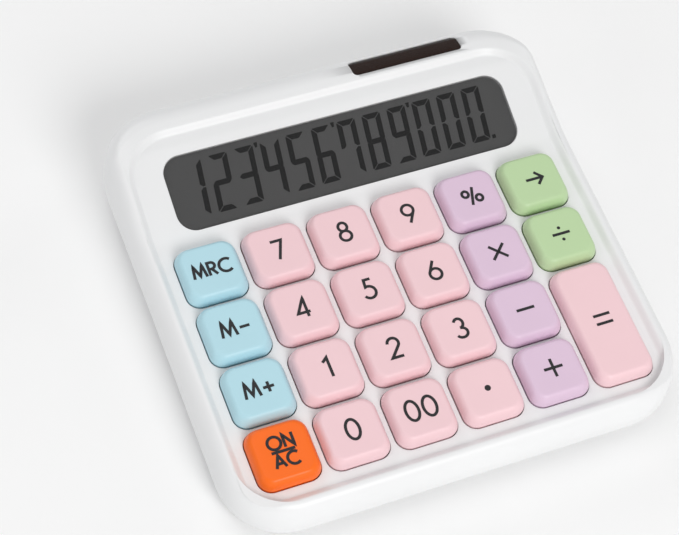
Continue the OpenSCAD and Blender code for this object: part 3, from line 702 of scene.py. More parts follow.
def solar_stripes(colours, power, matrix):
    """Dark brown solar film, with a fine metal line between its cells"""
    material, tree, shader = new_material("solar_film")
    place = add_node(tree, "TexCoord").outputs["Object"]
    left = (matrix @ Vector((power.solar_x - power.solar_width / 2, 0, 0))).x
    across = add_node(tree, "SeparateXYZ", {0: place}).outputs["X"]
    shifted = add_node(tree, "Math", {0: across, 1: left}, operation="SUBTRACT")
    per_metre = SOLAR_CELLS / (power.solar_width * MM)
    cells = add_node(tree, "Math", {0: shifted.outputs[0], 1: per_metre}, operation="MULTIPLY")
    part = add_node(tree, "Math", {0: cells.outputs[0]}, operation="FRACT")
    edge = add_node(tree, "Math", {0: part.outputs[0], 1: 0.5}, operation="SUBTRACT")
    away = add_node(tree, "Math", {0: edge.outputs[0]}, operation="ABSOLUTE")
    line = add_node(tree, "Math", {0: away.outputs[0], 1: 0.5 - SOLAR_LINE}, operation="GREATER_THAN")
    specks = add_node(tree, "TexNoise", {"Vector": place, "Scale": 900, "Detail": 3})
    film = blend_colours(tree, specks.outputs["Fac"], colours.solar, times(colours.solar, 1.8))
    shown = blend_colours(tree, line.outputs[0], film, colours.solar_line)
    tree.links.new(shown, shader.inputs["Base Color"])
    shader.inputs["Roughness"].default_value = 0.25
    return material


def circuit_board(colours):
    """Green solder resist over copper tracks"""
    material, tree, shader = new_material("solder_resist")
    place = add_node(tree, "TexCoord").outputs["Object"]
    tracks = add_node(tree, "TexBrick", {"Vector": place, "Scale": 260, "Mortar Size": 0.03})
    tone = blend_colours(tree, tracks.outputs["Fac"], colours.board, times(colours.board, 1.7))
    bump = add_node(tree, "Bump", {"Strength": 0.4, "Distance": 0.00004, "Height": tracks.outputs["Fac"]})
    tree.links.new(tone, shader.inputs["Base Color"])
    tree.links.new(bump.outputs[0], shader.inputs["Normal"])
    shader.inputs["Roughness"].default_value = 0.35
    return material


def repaint(node, material):
    """Gives a CAD node its material"""
    mesh = frame["nodes"][node].data
    mesh.materials.clear()
    mesh.materials.append(material)


# ---------------------------------------------------------------- the case


KEY_COLUMNS, KEY_ROWS = 6, 4
TALL_KEY = (5, 2)


def key_middle(keys, column, row, rows=1):
    """Middle of a key on the deck"""
    x = (column - (KEY_COLUMNS - 1) / 2) * keys.pitch_x
    y = ((KEY_ROWS - 1) / 2 - row - (rows - 1) / 2) * keys.pitch_y
    return x, y


def key_places():
    """Column, row and height in rows of every key"""
    column, row = TALL_KEY
    single = [(c, r, 1) for c in range(KEY_COLUMNS) for r in range(KEY_ROWS) if not (c == column and r >= row)]
    return single + [(column, row, 2)]


def key_opening(keys, place, grow):
    """Outline of a key's opening in the deck"""
    column, row, rows = place
    side = keys.size + 2 * (keys.play + grow)
    deep = side + (rows - 1) * keys.pitch_y
    return rounded_box(side, deep, keys.corner + keys.play + grow, middle=key_middle(keys, column, row, rows))


def face_end(display):
    """Where the display face ends, from the middle of the keys"""
    return display.start + display.length * math.cos(display.slope)


def tray_height(display, y, blend):
    """Height of the tray's floor over the deck: level, up the display face, then level again"""
    return ramp(y, display.start, face_end(display), blend) * math.tan(display.slope)


def on_face(display, points, level):
    """Points drawn on the display face, as points over the deck"""
    turn, lean = math.cos(display.slope), math.sin(display.slope)
    return [(x, display.start + s * turn - level * lean, s * lean + level * turn) for x, s in points]


# Half-widths of the soft bends where the display face starts and ends: on the floor and on the rim
FACE_BLEND = 1.2
RIM_BLEND = 5
RIM_STEPS = 8
SIDE_STEPS = 36
STEP_BLEND = 0.25
STEP_MARGIN = 2.5
SEAM_ROUNDING = ((0, 0.5), (0.1, 0.12), (0.3, 0))


def bend_marks(*bends):
    """Places across the soft bends of the display face"""
    return [bend + FACE_BLEND * k / 2 for bend in bends for k in range(-2, 3)]


def floor_sheet(bm, ring, holes, marks):
    """Fills a ring with a floor that is flat between marked crossings; holes are edges by region"""
    half = len(ring) // 2
    right, left = ring[: half + 1], (ring[half:] + ring[:1])[::-1]
    widest = max(vert.co.x for vert in right)
    side = next(k for k, vert in enumerate(right) if vert.co.x > widest - 0.001)
    cuts = [k for k in range(side, len(right)) if any(abs(right[k].co.y - mark) < 0.01 for mark in marks)]
    crossings = {k: bm.edges.new((left[k], right[k])) for k in cuts}
    bounds = [0] + cuts + [len(right) - 1]
    for region, (low, high) in enumerate(zip(bounds, bounds[1:])):
        edges = [bm.edges.get(pair) for pair in zip(right[low:high], right[low + 1 : high + 1])]
        edges += [bm.edges.get(pair) for pair in zip(left[low:high], left[low + 1 : high + 1])]
        edges += [crossings[k] for k in (low, high) if k in crossings]
        edges += holes.get(region, [])
        fill_flat(bm, list(dict.fromkeys(edges)))


def tray_outline(case, out):
    """The sunk tray's outline, moved out"""
    return Outline(
        case.tray_half_width + out, case.tray_front - out, case.tray_back + out,
        case.tray_front_corner + out, case.tray_back_corner + out,
    )


def crest_rise(case, display, y):
    """Height of the rim's crest over the widest line"""
    return case.rim_rise + tray_height(display, y, RIM_BLEND) - case.widest


def rim_rows(case, display, stations):
    """Rows of the rim's slope out of the tray, then of its rounded shoulder down to the seam"""
    rows = []
    for share in (k / RIM_STEPS for k in range(1, RIM_STEPS + 1)):
        outline = tray_outline(case, share * (case.rim_slope_in + case.rim_slope_out) - case.rim_slope_in)
        blend = FACE_BLEND + share * (RIM_BLEND - FACE_BLEND)
        rows.append([
            (x, y, case.rim_rise * smooth(share) + tray_height(display, y, blend))
            for x, y in outline.points(stations)
        ])
    for turn in (math.pi / 2 * k / SIDE_STEPS for k in range(SIDE_STEPS, -1, -1)):
        away = 1 - math.cos(turn)
        outline = case_outline(case, case.rim_round * away, case.back_round * away)
        rows.append([
            (x, y, case.widest + crest_rise(case, display, y) * math.sin(turn))
            for x, y in outline.points(stations)
        ])
    low = case.seam + case.seam_gap
    return rows + [
        at_level(case_outline(case, inset).points(stations), low + rise) for inset, rise in SEAM_ROUNDING
    ]


def cut_key_openings(bm, case, keys):
    """Walls of the key openings, with softened upper edges; the edges left open above and below"""
    above, below = [], []
    lip = keys.lip
    turns = (math.pi / 2 * k / 3 for k in range(1, 4))
    rounding = [(lip * (1 - math.sin(turn)), -lip * (1 - math.cos(turn))) for turn in turns]
    for place in key_places():
        ring = new_ring(bm, at_level(key_opening(keys, place, lip), 0))
        above += ring_edges(bm, ring)
        rows = rounding + [(0, -case.deck_thickness)]
        ring = draw_rings(bm, ring, [at_level(key_opening(keys, place, grow), level) for grow, level in rows])
        below += ring_edges(bm, ring)
    return above, below


def cut_window_opening(bm, case, display):
    """Walls of the window's opening and the ledge under it; the edges left open above and below"""
    rebate, ledge = display.window_rebate, display.window_ledge

    def row(grow, level):
        outline = rounded_box(
            display.window_width + 2 * grow, display.window_length + 2 * grow, display.window_corner + grow,
            middle=(0, display.window_edge + display.window_length / 2),
        )
        return on_face(display, outline, level)

    top = new_ring(bm, row(0.3, 0))
    low = draw_rings(bm, top, [
        row(0.16, -0.05), row(0.1, -0.2), row(0.1, -rebate), row(-ledge, -rebate),
        row(-ledge, -case.deck_thickness),
    ])
    return ring_edges(bm, top), ring_edges(bm, low)


def build_top_case(case, keys, display, power):
    """The top case: a sunk tray, a soft rim, outer walls and the ceiling under them"""
    bm = bmesh.new()
    slope = math.tan(display.slope)
    end = face_end(display)
    thin = case.deck_thickness
    start_below = display.start + (thin / math.cos(display.slope) - thin) / slope
    step = power.solar_y - power.solar_length / 2 - STEP_MARGIN
    marks = bend_marks(display.start, end)
    marks_below = bend_marks(start_below, end)

    # The spare marks give the outer rings as many points as the step in the ceiling gives the inner
    foot = tray_outline(case, -case.rim_slope_in)
    spare = [foot.back - gap for gap in (0.9, 0.6, 0.3)]
    stations = foot.stations(marks + marks_below + spare)
    tray = new_ring(bm, [(x, y, tray_height(display, y, FACE_BLEND)) for x, y in foot.points(stations)])
    outer = draw_rings(bm, tray, rim_rows(case, display, stations))

    def ceiling_height(y):
        height = ramp(y, start_below, end, FACE_BLEND) * slope - thin
        return height + (power.solar_ceiling - height) * smooth((y - step + STEP_BLEND) / (2 * STEP_BLEND))

    marks_below += [step - STEP_BLEND, step, step + STEP_BLEND]
    inner = case_outline(case, case.wall)
    plan = inner.points(inner.stations(marks + marks_below))
    inside = draw_ring(bm, outer, at_level(plan, case.seam + case.seam_gap))
    ceiling = draw_ring(bm, inside, [(x, y, ceiling_height(y)) for x, y in plan])

    key_holes = cut_key_openings(bm, case, keys)
    window_holes = cut_window_opening(bm, case, display)
    face = len(bend_marks(display.start))
    for ring, side, crossings in ((tray, 0, marks), (ceiling, 1, marks_below)):
        floor_sheet(bm, ring, {0: key_holes[side], face: window_holes[side]}, crossings)
    return bm


LEDGE_CORNER = 1
FAR_UP, FAR_DOWN = 20, -5


def solar_cutters(power):
    """The solar pocket and the smaller opening under its cover"""
    pocket = (0, power.solar_corner, power.solar_seat, FAR_UP)
    opening = (power.solar_ledge, LEDGE_CORNER, FAR_DOWN, power.solar_seat + 1)
    cutters = []
    for inset, radius, low, high in (pocket, opening):
        bm = bmesh.new()
        outline = rounded_box(
            power.solar_width - 2 * inset, power.solar_length - 2 * inset, radius, steps=6,
            middle=(power.solar_x, power.solar_y),
        )
        ring = new_ring(bm, at_level(outline, low))
        cap_ring(bm, ring)
        cap_ring(bm, draw_ring(bm, ring, at_level(outline, high)))
        cutters.append(bm)
    return cutters


COVER_STEPS = 14
COVER_WALL_PLAY = 1.55
SEAM_TURN = math.radians(1.5)
FEET = [(side, end) for side in (-1, 1) for end in (-1, 1)]
NOTCH_PLACE = 1.15


def cover_points(case, plan, turn):
    """A row of the rear cover's curved side, from the seam down to the base"""
    left = 1 - math.sin(turn)
    level = case.base + (case.deck_height + case.seam * math.cos(case.tilt) - case.base) * left
    shift = -case.seam * math.sin(case.tilt) - case_middle(case)
    return [(x, y * math.cos(case.tilt) + shift, y * math.sin(case.tilt) * left + level) for x, y in plan]


def deck_circle(case, x, y, radius, level):
    """A circle level with the deck, in millimetres on the table"""
    return [deck_place(case) @ Vector((px, py, level)) for px, py in circle(x, y, radius)]


def screw_places(case, keys):
    """The case screws, on the deck"""
    side, back = case.half_width - 28, case.back - 16
    x, y = keys.pitch_x, keys.pitch_y
    return [(-x, -y), (x, -y), (-2 * x, 0), (2 * x, 0), (-side, back), (side, back)]


def slanted_circle(case, x, y, radius, height):
    """A round bore along the deck's own axis, where it meets a level at height"""
    turn, lean = math.cos(case.tilt), math.sin(case.tilt)
    rise = height - case.deck_height
    return [deck_place(case) @ Vector((px, py, (rise - py * lean) / turn)) for px, py in circle(x, y, radius)]


def cut_screw_bore(bm, case, x, y, floor):
    """A screw's recess from below and its boss from above; the edges left open below and above"""
    recess, edge = case.screw_recess, case.edge
    low = new_ring(bm, slanted_circle(case, x, y, recess + edge, case.base))
    ring = draw_ring(bm, low, slanted_circle(case, x, y, recess, case.base + edge))
    cap_ring(bm, draw_ring(bm, ring, deck_circle(case, x, y, recess, case.screw_seat)))
    high = new_ring(bm, slanted_circle(case, x, y, case.boss, floor))
    cap_ring(bm, draw_rings(bm, high, [
        deck_circle(case, x, y, case.boss, case.boss_step),
        deck_circle(case, x, y, case.boss_nose, case.boss_step),
        deck_circle(case, x, y, case.boss_nose, case.boss_top),
    ]))
    return ring_edges(bm, low), ring_edges(bm, high)


def cut_foot_recess(bm, case, x, y):
    """A foot's recess; the edges left open below"""
    radius = case.foot_radius + case.foot_play
    rows = [
        at_level(circle(x, y, radius + grow, 40), case.base + rise)
        for grow, rise in ((0.2, 0), (0, 0.2), (0, case.foot_sink))
    ]
    low = new_ring(bm, rows[0])
    cap_ring(bm, draw_rings(bm, low, rows[1:]))
    return ring_edges(bm, low)


def cut_battery_bay(bm, case, power, floor):
    """The door's recess, the notch for its tongue and the bay; the edges left open below and above"""
    middle = bay_middle()
    low, high = box_of("battery_door")
    front, back = low.y - power.door_play, high.y + power.door_play
    half = power.bay_half_length + power.door_overlap + power.door_play
    ledge = case.base + power.door_thickness + 0.1

    def door_row(grow, level):
        outline = rounded_box(
            2 * (half + grow), back - front + 2 * grow, 0.6, steps=4, middle=(middle.x, (front + back) / 2)
        )
        return at_level(outline, level)

    def bay_row(grow, level):
        outline = rounded_box(
            2 * (power.bay_half_length + grow), 2 * (power.bay_half_width + grow), power.bay_corner, steps=4,
            middle=(middle.x, middle.y),
        )
        return at_level(outline, level)

    below = new_ring(bm, door_row(case.edge, case.base))
    recess = draw_rings(bm, below, [door_row(0, case.base + 0.2), door_row(0, ledge)])
    bay = new_ring(bm, bay_row(0, ledge))
    slot = rounded_box(9, 1.5, 0.3, steps=3, middle=(middle.x, back - NOTCH_PLACE))
    notch = new_ring(bm, at_level(slot, ledge))
    fill_flat(bm, [edge for ring in (recess, bay, notch) for edge in ring_edges(bm, ring)])
    cap_ring(bm, draw_ring(bm, notch, [(v.co.x, v.co.y, floor - 0.3) for v in notch]))
    cap_ring(bm, draw_ring(bm, bay, bay_row(0, power.bay_top)))
    above = new_ring(bm, bay_row(power.bay_wall, floor))
    cap_ring(bm, draw_ring(bm, above, bay_row(power.bay_wall, power.bay_top + power.bay_wall)))
    return ring_edges(bm, below), ring_edges(bm, above)


def build_rear_cover(case, keys, power):
    """The rear cover: curved sides, a flat base with recesses, screw bosses and the battery bay"""
    bm = bmesh.new()
    stations = case_outline(case, case.cover_step).stations([])

    def side_row(turn, extra=0):
        inset = case.cover_step + extra + case.base_inset * (1 - math.cos(turn))
        return cover_points(case, case_outline(case, inset).points(stations), turn)

    top = new_ring(bm, side_row(0, case.edge))
    turns = [SEAM_TURN] + [math.pi / 2 * k / COVER_STEPS for k in range(1, COVER_STEPS + 1)]
    base = draw_rings(bm, top, [side_row(turn) for turn in turns])

    inner = case_outline(case, case.wall + COVER_WALL_PLAY)
    plan = cover_points(case, inner.points(inner.stations([])), 0)
    level = case.base + case.floor
    floor = draw_rings(bm, top, [plan, [(x, y, level) for x, y, _ in plan]])

    below, above = [], []
    for x, y in screw_places(case, keys):
        low, high = cut_screw_bore(bm, case, x, y, level)
        below += low
        above += high
    for side, end in FEET:
        below += cut_foot_recess(bm, case, side * case.foot_x, end * case.foot_y)
    low, high = cut_battery_bay(bm, case, power, level)
    fill_flat(bm, ring_edges(bm, base) + below + low)
    fill_flat(bm, ring_edges(bm, floor) + above + high)
    return bm


class CALCULATOR_OT_top_case(bpy.types.Operator):
    """Builds the top case"""

    bl_idname = "calculator.top_case"
    bl_label = "Top case"

    def execute(self, context):
        case, keys = sizes(context, "case"), sizes(context, "keys")
        display, power = sizes(context, "display"), sizes(context, "power")
        material = shell_plastic(sizes(context, "colours"))
        bm = build_top_case(case, keys, display, power)
        piece = finish_piece(bm, "top_shell", to_deck(case), material, "case", "white_shell", ["top_case"])
        for pocket in solar_cutters(power):
            cut_piece(piece, pocket, to_deck(case))
        return {"FINISHED"}


class CALCULATOR_OT_rear_cover(bpy.types.Operator):
    """Builds the rear cover"""

    bl_idname = "calculator.rear_cover"
    bl_label = "Rear cover"

    def execute(self, context):
        case, keys, power = sizes(context, "case"), sizes(context, "keys"), sizes(context, "power")
        material = shell_plastic(sizes(context, "colours"))
        bm = build_rear_cover(case, keys, power)
        finish_piece(bm, "bottom_shell", TO_TABLE, material, "case", "white_shell", ["rear_cover"])
        return {"FINISHED"}


class CALCULATOR_OT_feet(bpy.types.Operator):
    """Builds the rubber feet, with soft edges and a shallow hollow under each"""

    bl_idname = "calculator.feet"
    bl_label = "Rubber feet"

    def execute(self, context):
        case, colours = sizes(context, "case"), sizes(context, "colours")
        radius, top, edge = case.foot_radius, case.base + case.foot_sink - 0.02, 0.5
        profile = [(0, top), (radius, top)] + arc(radius - edge, edge, edge, edge, 0, -90, 5)
        profile += [(radius - 1.2, 0), (radius - 1.6, 0.15), (0, 0.2)]
        bm = bmesh.new()
        for side, end in FEET:
            spin_profile(bm, profile, (side * case.foot_x, end * case.foot_y, 0), 40)
        rubber = moulded("foot_rubber", colours.rubber, 0.2, roughness=0.7, grain=0.35, grain_size=0.0003)
        finish_piece(bm, "foot_pads", TO_TABLE, rubber, "case", "rubber_feet", ["rubber_feet"])
        return {"FINISHED"}


# ---------------------------------------------------------------- the keys


def cap_profile(keys):
    """Inset and level of each row of a keycap's side, from its skirt to the edge of its dish"""
    bottom, shoulder = (0, 0.5), (keys.shoulder, keys.rise)
    pulls = ((0.3, 2.6), (1.2, keys.rise + 0.1))
    relief, skirt, edge = keys.relief, keys.skirt, 0.25
    rows = [(relief + edge, -skirt), (relief, edge - skirt), (relief, 0.15), (0.06, 0.3)]
    steps = 12
    for k in range(steps + 1):
        t = k / steps
        weights = ((1 - t) ** 3, 3 * t * (1 - t) ** 2, 3 * t * t * (1 - t), t ** 3)
        points = (bottom, *pulls, shoulder)
        rows.append(tuple(sum(w * p[axis] for w, p in zip(weights, points)) for axis in (0, 1)))
    return rows


def top_level(keys, inset):
    """Level of a keycap's top, which is a shallow dish, at a distance in from its side"""
    share = (inset - keys.shoulder) / (keys.size / 2 - keys.shoulder)
    return keys.rise - keys.dish * smooth(share)


# Insets of the dish's rows, how far joined pieces run into each other, and the top of the tabs
DISH_ROWS = (3, 4.2, 5.4, 6.6, 7.8, 9)
JOIN = 0.1
TAB_TOP = -2.1


def build_keycap(keys, place):
    """One keycap: its crown, skirt, ribs, plunger and the tabs that hold it in"""
    column, row, rows = place
    x, y = key_middle(keys, column, row, rows)
    extra = (rows - 1) * keys.pitch_y
    bm = bmesh.new()

    def outline(inset, level):
        width = keys.size - 2 * inset
        radius = min(max(keys.corner - inset / 2, 0.3), width / 2 - 0.05)
        return at_level(rounded_box(width, width + extra, radius, steps=9, middle=(x, y)), level)

    profile = cap_profile(keys)
    first = new_ring(bm, outline(*profile[0]))
    ring = draw_rings(bm, first, [outline(*entry) for entry in profile[1:]])
    cap_ring(bm, draw_rings(bm, ring, [outline(inset, top_level(keys, inset)) for inset in DISH_ROWS]))
    ceiling = keys.rise - keys.crown
    cap_ring(bm, draw_rings(bm, first, [outline(keys.wall, -keys.skirt), outline(keys.wall, ceiling)]))

    root = ceiling + JOIN
    half = keys.size / 2 - keys.wall + JOIN
    rib, low, tab = keys.rib / 2, -keys.rib_depth, keys.tab / 2
    for middle in (y - extra / 2, y + extra / 2) if rows > 1 else (y,):
        add_rod(bm, keys.plunger, -keys.plunger_depth, root, (x, middle, 0), 24)
        add_box(bm, (x - half, middle - rib, low), (x + half, middle + rib, root))
        for side in (-1, 1):
            edge = x + side * (keys.size / 2 + 0.35)
            add_box(bm, (edge - 0.4, middle - tab, JOIN - keys.skirt), (edge + 0.35, middle + tab, TAB_TOP))
    add_box(bm, (x - rib, y - half - extra / 2, low), (x + rib, y + half + extra / 2, root))
    return bm


KEYS = [
    ("mrc", 0, 0, "blue"), ("m_minus", 0, 1, "blue"), ("m_plus", 0, 2, "blue"), ("on_ac", 0, 3, "orange"),
    ("7", 1, 0, "pink"), ("4", 1, 1, "pink"), ("1", 1, 2, "pink"), ("0", 1, 3, "pink"),
    ("8", 2, 0, "pink"), ("5", 2, 1, "pink"), ("2", 2, 2, "pink"), ("00", 2, 3, "pink"),
    ("9", 3, 0, "pink"), ("6", 3, 1, "pink"), ("3", 3, 2, "pink"), ("point", 3, 3, "pink"),
    ("percent", 4, 0, "lilac"), ("multiply", 4, 1, "lilac"), ("minus", 4, 2, "lilac"), ("plus", 4, 3, "lilac"),
    ("backspace", 5, 0, "green"), ("divide", 5, 1, "green"), ("equals", 5, 2, "pink"),
]


class CALCULATOR_OT_keycaps(bpy.types.Operator):
    """Builds the keycaps"""

    bl_idname = "calculator.keycaps"
    bl_label = "Keycaps"

    def execute(self, context):
        case, keys, colours = sizes(context, "case"), sizes(context, "keys"), sizes(context, "colours")
        for name, column, row, tint in KEYS:
            rows = 2 if (column, row) == TALL_KEY else 1
            bm = build_keycap(keys, (column, row, rows))
            finish_piece(
                bm, "cap_" + name, to_deck(case), key_plastic(colours, tint), "button_" + name, "key_" + tint,
                ["key_" + name],
            )
        return {"FINISHED"}


# ---------------------------------------------------------------- the legends


def ellipse(x, y, radius_x, radius_y):
    """A closed stroke"""
    return arc(x, y, radius_x, radius_y, 90, 450, 36)


# Each sign is its width and the middle lines of its strokes, on a height of one
GLYPHS = {
    "0": (0.62, [ellipse(0.31, 0.5, 0.31, 0.5)]),
    "1": (0.25, [[(0, 0.8), (0.25, 1), (0.25, 0)]]),
    "2": (0.56, [arc(0.28, 0.73, 0.27, 0.27, 175, -38, 16) + [(0, 0), (0.56, 0)]]),
    "3": (0.52, [arc(0.24, 0.755, 0.22, 0.245, 155, -90, 18), arc(0.24, 0.255, 0.28, 0.255, 90, -155, 18)]),
    "4": (0.6, [[(0.6, 0.25), (0, 0.25), (0.45, 1), (0.45, 0)]]),
    "5": (0.54, [[(0.48, 1), (0.16, 1)] + arc(0.23, 0.32, 0.31, 0.32, 110, -150, 20)]),
    "6": (0.58, [ellipse(0.29, 0.29, 0.29, 0.29), [(0.37, 1), (0.045, 0.44)]]),
    "7": (0.54, [[(0, 1), (0.54, 1), (0.17, 0)]]),
    "8": (0.56, [ellipse(0.28, 0.77, 0.215, 0.23), ellipse(0.28, 0.27, 0.28, 0.27)]),
    "9": (0.58, [ellipse(0.29, 0.71, 0.29, 0.29), [(0.21, 0), (0.535, 0.56)]]),
    "M": (0.9, [[(0, 0), (0.14, 1), (0.45, 0.14), (0.76, 1), (0.9, 0)]]),
    "R": (0.52, [
        [(0, 0), (0, 1)] + arc(0.22, 0.745, 0.27, 0.255, 90, -90, 12) + [(0, 0.49)],
        [(0.22, 0.49), (0.52, 0)],
    ]),
    "C": (0.82, [arc(0.5, 0.5, 0.5, 0.5, 48, 312, 24)]),
    "O": (1.0, [ellipse(0.5, 0.5, 0.5, 0.5)]),
    "N": (0.68, [[(0, 0), (0, 1), (0.68, 0), (0.68, 1)]]),
    "A": (0.76, [[(0, 0), (0.38, 1), (0.76, 0)], [(0.13, 0.33), (0.63, 0.33)]]),
    "-": (0.6, [[(0, 0.42), (0.6, 0.42)]]),
    "+": (0.66, [[(0, 0.42), (0.66, 0.42)], [(0.33, 0.09), (0.33, 0.75)]]),
    "minus": (1.0, [[(0, 0.5), (1, 0.5)]]),
    "plus": (1.0, [[(0, 0.5), (1, 0.5)], [(0.5, 0), (0.5, 1)]]),
    "times": (0.86, [[(0, 0.07), (0.86, 0.93)], [(0, 0.93), (0.86, 0.07)]]),
    "divide": (1.0, [[(0, 0.5), (1, 0.5)]]),
    "equals": (1.0, [[(0, 0.24), (1, 0.24)], [(0, 0.76), (1, 0.76)]]),
    "percent": (1.0, [
        [(0.36, 0), (0.66, 1)], ellipse(0.19, 0.68, 0.17, 0.18), ellipse(0.83, 0.32, 0.17, 0.18),
    ]),
    "arrow": (1.0, [[(0, 0.5), (1, 0.5)], [(0.62, 0.9), (1, 0.5), (0.62, 0.1)]]),
    "point": (0.2, []),
}
DOTS = {"divide": [(0.5, 0.86, 0.09), (0.5, 0.14, 0.09)], "point": [(0.1, 0.5, 0.62)]}

# Each legend's lines of signs, with their height and where they stand over the middle of the key
LEGENDS = {
    "mrc": [("MRC", 4.5, 0)],
    "m_minus": [("M-", 5.2, 0)],
    "m_plus": [("M+", 5.2, 0)],
    "on_ac": [("ON", 4.1, 3.0), (["minus"], 7.4, 0), ("AC", 4.1, -3.0)],
    "point": [(["point"], 1.6, 0)],
    "percent": [(["percent"], 6.4, 0)],
    "multiply": [(["times"], 5.8, 0)],
    "minus": [(["minus"], 6, 0)],
    "plus": [(["plus"], 6.2, 0)],
    "backspace": [(["arrow"], 5.8, 0)],
    "divide": [(["divide"], 6, 0)],
    "equals": [(["equals"], 5.6, 0)],
}
DIGIT_LEGEND = 6.6
SIGN_GAP = 0.24


def finer(path, step):
    """A stroke's middle line with points no further apart than step"""
    points = [Vector(path[0])]
    for here, there in zip(path, path[1:]):
        a, b = Vector(here), Vector(there)
        pieces = max(1, math.ceil((b - a).length / step))
        points += [a.lerp(b, k / pieces) for k in range(1, pieces + 1)]
    return points


def draw_stroke(bm, path, width, lift):
    """A flat stroke of even width along a middle line, with mitred corners"""
    closed = (path[0] - path[-1]).length < 0.001
    count = len(path)

    def across(k):
        before = path[k] - path[k - 1] if k else (path[-1] - path[-2] if closed else path[1] - path[0])
        after = path[k + 1] - path[k] if k < count - 1 else (path[1] - path[0] if closed else before)
        before, after = before.normalized(), after.normalized()
        middle = (before + after).normalized()
        reach = width / 2 / max(middle.dot(before), 0.42)
        return Vector((-middle.y, middle.x)) * reach

    def side_points(k):
        return [(*p, lift(*p)) for p in (path[k] + across(k), path[k] - across(k))]

    start = [bm.verts.new(p) for p in side_points(0)]
    edge = bm.edges.new(start)
    left = start[0]
    for k in range(1, count):
        made = bmesh.ops.extrude_edge_only(bm, edges=[edge])["geom"]
        edge = next(item for item in made if isinstance(item, bmesh.types.BMEdge))
        twin = next(v for v in edge.verts if any(e.other_vert(v) is left for e in v.link_edges))
        other = edge.other_vert(twin)
        twin.co, other.co = side_points(k)
        left = twin


def build_legend(keys, name, place):
    """The printed sign on a keycap"""
    column, row, rows = place
    middle_x, middle_y = key_middle(keys, column, row, rows)
    lines = LEGENDS.get(name, [(name, DIGIT_LEGEND, 0)])

    def lift(x, y):
        inset = keys.size / 2 - max(abs(x - middle_x), abs(y - middle_y) - (rows - 1) * keys.pitch_y / 2)
        return top_level(keys, inset) + keys.ink

    bm = bmesh.new()
    for signs, height, up in lines:
        widths = [GLYPHS[sign][0] * height for sign in signs]
        x = middle_x - (sum(widths) + SIGN_GAP * height * (len(signs) - 1)) / 2
        y = middle_y + up - height / 2
        for sign, width in zip(signs, widths):
            for path in GLYPHS[sign][1]:
                placed = [(x + px * height, y + py * height) for px, py in path]
                draw_stroke(bm, finer(placed, 0.8), keys.stroke, lift)
            for px, py, radius in DOTS.get(sign, ()):
                dot = circle(x + px * height, y + py * height, radius * height, 24)
                cap_ring(bm, new_ring(bm, [(*p, lift(*p)) for p in dot]))
            x += width + SIGN_GAP * height
    bmesh.ops.remove_doubles(bm, verts=bm.verts, dist=0.0005)
    bmesh.ops.solidify(bm, geom=bm.faces[:], thickness=keys.ink * 1.5)
    return bm


class CALCULATOR_OT_legends(bpy.types.Operator):
    """Prints the legends on the keycaps"""

    bl_idname = "calculator.legends"
    bl_label = "Legends"

    def execute(self, context):
        case, keys, colours = sizes(context, "case"), sizes(context, "keys"), sizes(context, "colours")
        for name, column, row, _ in KEYS:
            rows = 2 if (column, row) == TALL_KEY else 1
            bm = build_legend(keys, name, (column, row, rows))
            finish_piece(
                bm, "legend_" + name, to_deck(case), ink(colours), "button_" + name, "black_resin", even=False
            )
        return {"FINISHED"}


# ---------------------------------------------------------------- the display


SEGMENTS_OF = {
    "0": "abcdef", "1": "bc", "2": "abged", "3": "abgcd", "4": "fgbc",
    "5": "afgcd", "6": "afgedc", "7": "abcf", "8": "abcdefg", "9": "abcdfg",
}
SHOWN = "123456789000"
DIGIT_SLANT = 0.105
SEGMENT_GAP = 0.17
CORNER_CUT = 0.45


def segment_outline(display, name):
    """One segment of a digit: mitred at the corners, and pointed at both ends in the middle"""
    width, half, thick = display.digit_width, display.digit_height / 2, display.segment
    gap, cut = SEGMENT_GAP, CORNER_CUT
    if name == "g":
        reach, tip = width - gap, thick / 2
        return [
            (gap, half), (gap + tip, half - tip), (reach - tip, half - tip),
            (reach, half), (reach - tip, half + tip), (gap + tip, half + tip),
        ]
    if name in "ad":
        points = [
            (gap + cut, 0), (width - gap - cut, 0), (width - gap - cut / 2, cut / 2),
            (width - gap - thick, thick), (gap + thick, thick), (gap + cut / 2, cut / 2),
        ]
    else:
        points = [
            (0, gap + cut), (cut / 2, gap + cut / 2), (thick, gap + thick),
            (thick, half - gap - thick / 2), (thick / 2, half - gap), (0, half - gap - 0.1),
        ]
    if name in "abf":
        points = [(x, 2 * half - y) for x, y in points][::-1]
    if name in "bc":
        points = [(width - x, y) for x, y in points][::-1]
    return points


def build_digits(display):
    """The dark digits of the display, with a tick at each third one and a point at the end"""
    bm = bmesh.new()
    level = display.film_top + 0.005

    def draw(points, x):
        foot = display.digit_base
        cap_ring(bm, new_ring(bm, [(x + px + py * DIGIT_SLANT, foot + py, level) for px, py in points]))

    count = len(SHOWN)
    for place, digit in enumerate(SHOWN):
        x = display.digit_end - display.digit_width - (count - 1 - place) * display.digit_pitch
        for name in SEGMENTS_OF[digit]:
            draw(segment_outline(display, name), x)
        if place % 3 == 2 and place < count - 1:
            top = display.digit_height + 0.4
            gap = display.digit_width + 0.4
            draw([(gap + 0.4, top - 1.7), (gap + 1.1, top - 1.7), (gap + 1.3, top), (gap, top)], x)
    x = display.digit_end + 0.6
    draw([(0, 0), (1.3, 0), (1.3, 1.3), (0, 1.3)], x)
    bmesh.ops.recalc_face_normals(bm, faces=bm.faces)
    bmesh.ops.solidify(bm, geom=bm.faces[:], thickness=-0.015)
    return bm


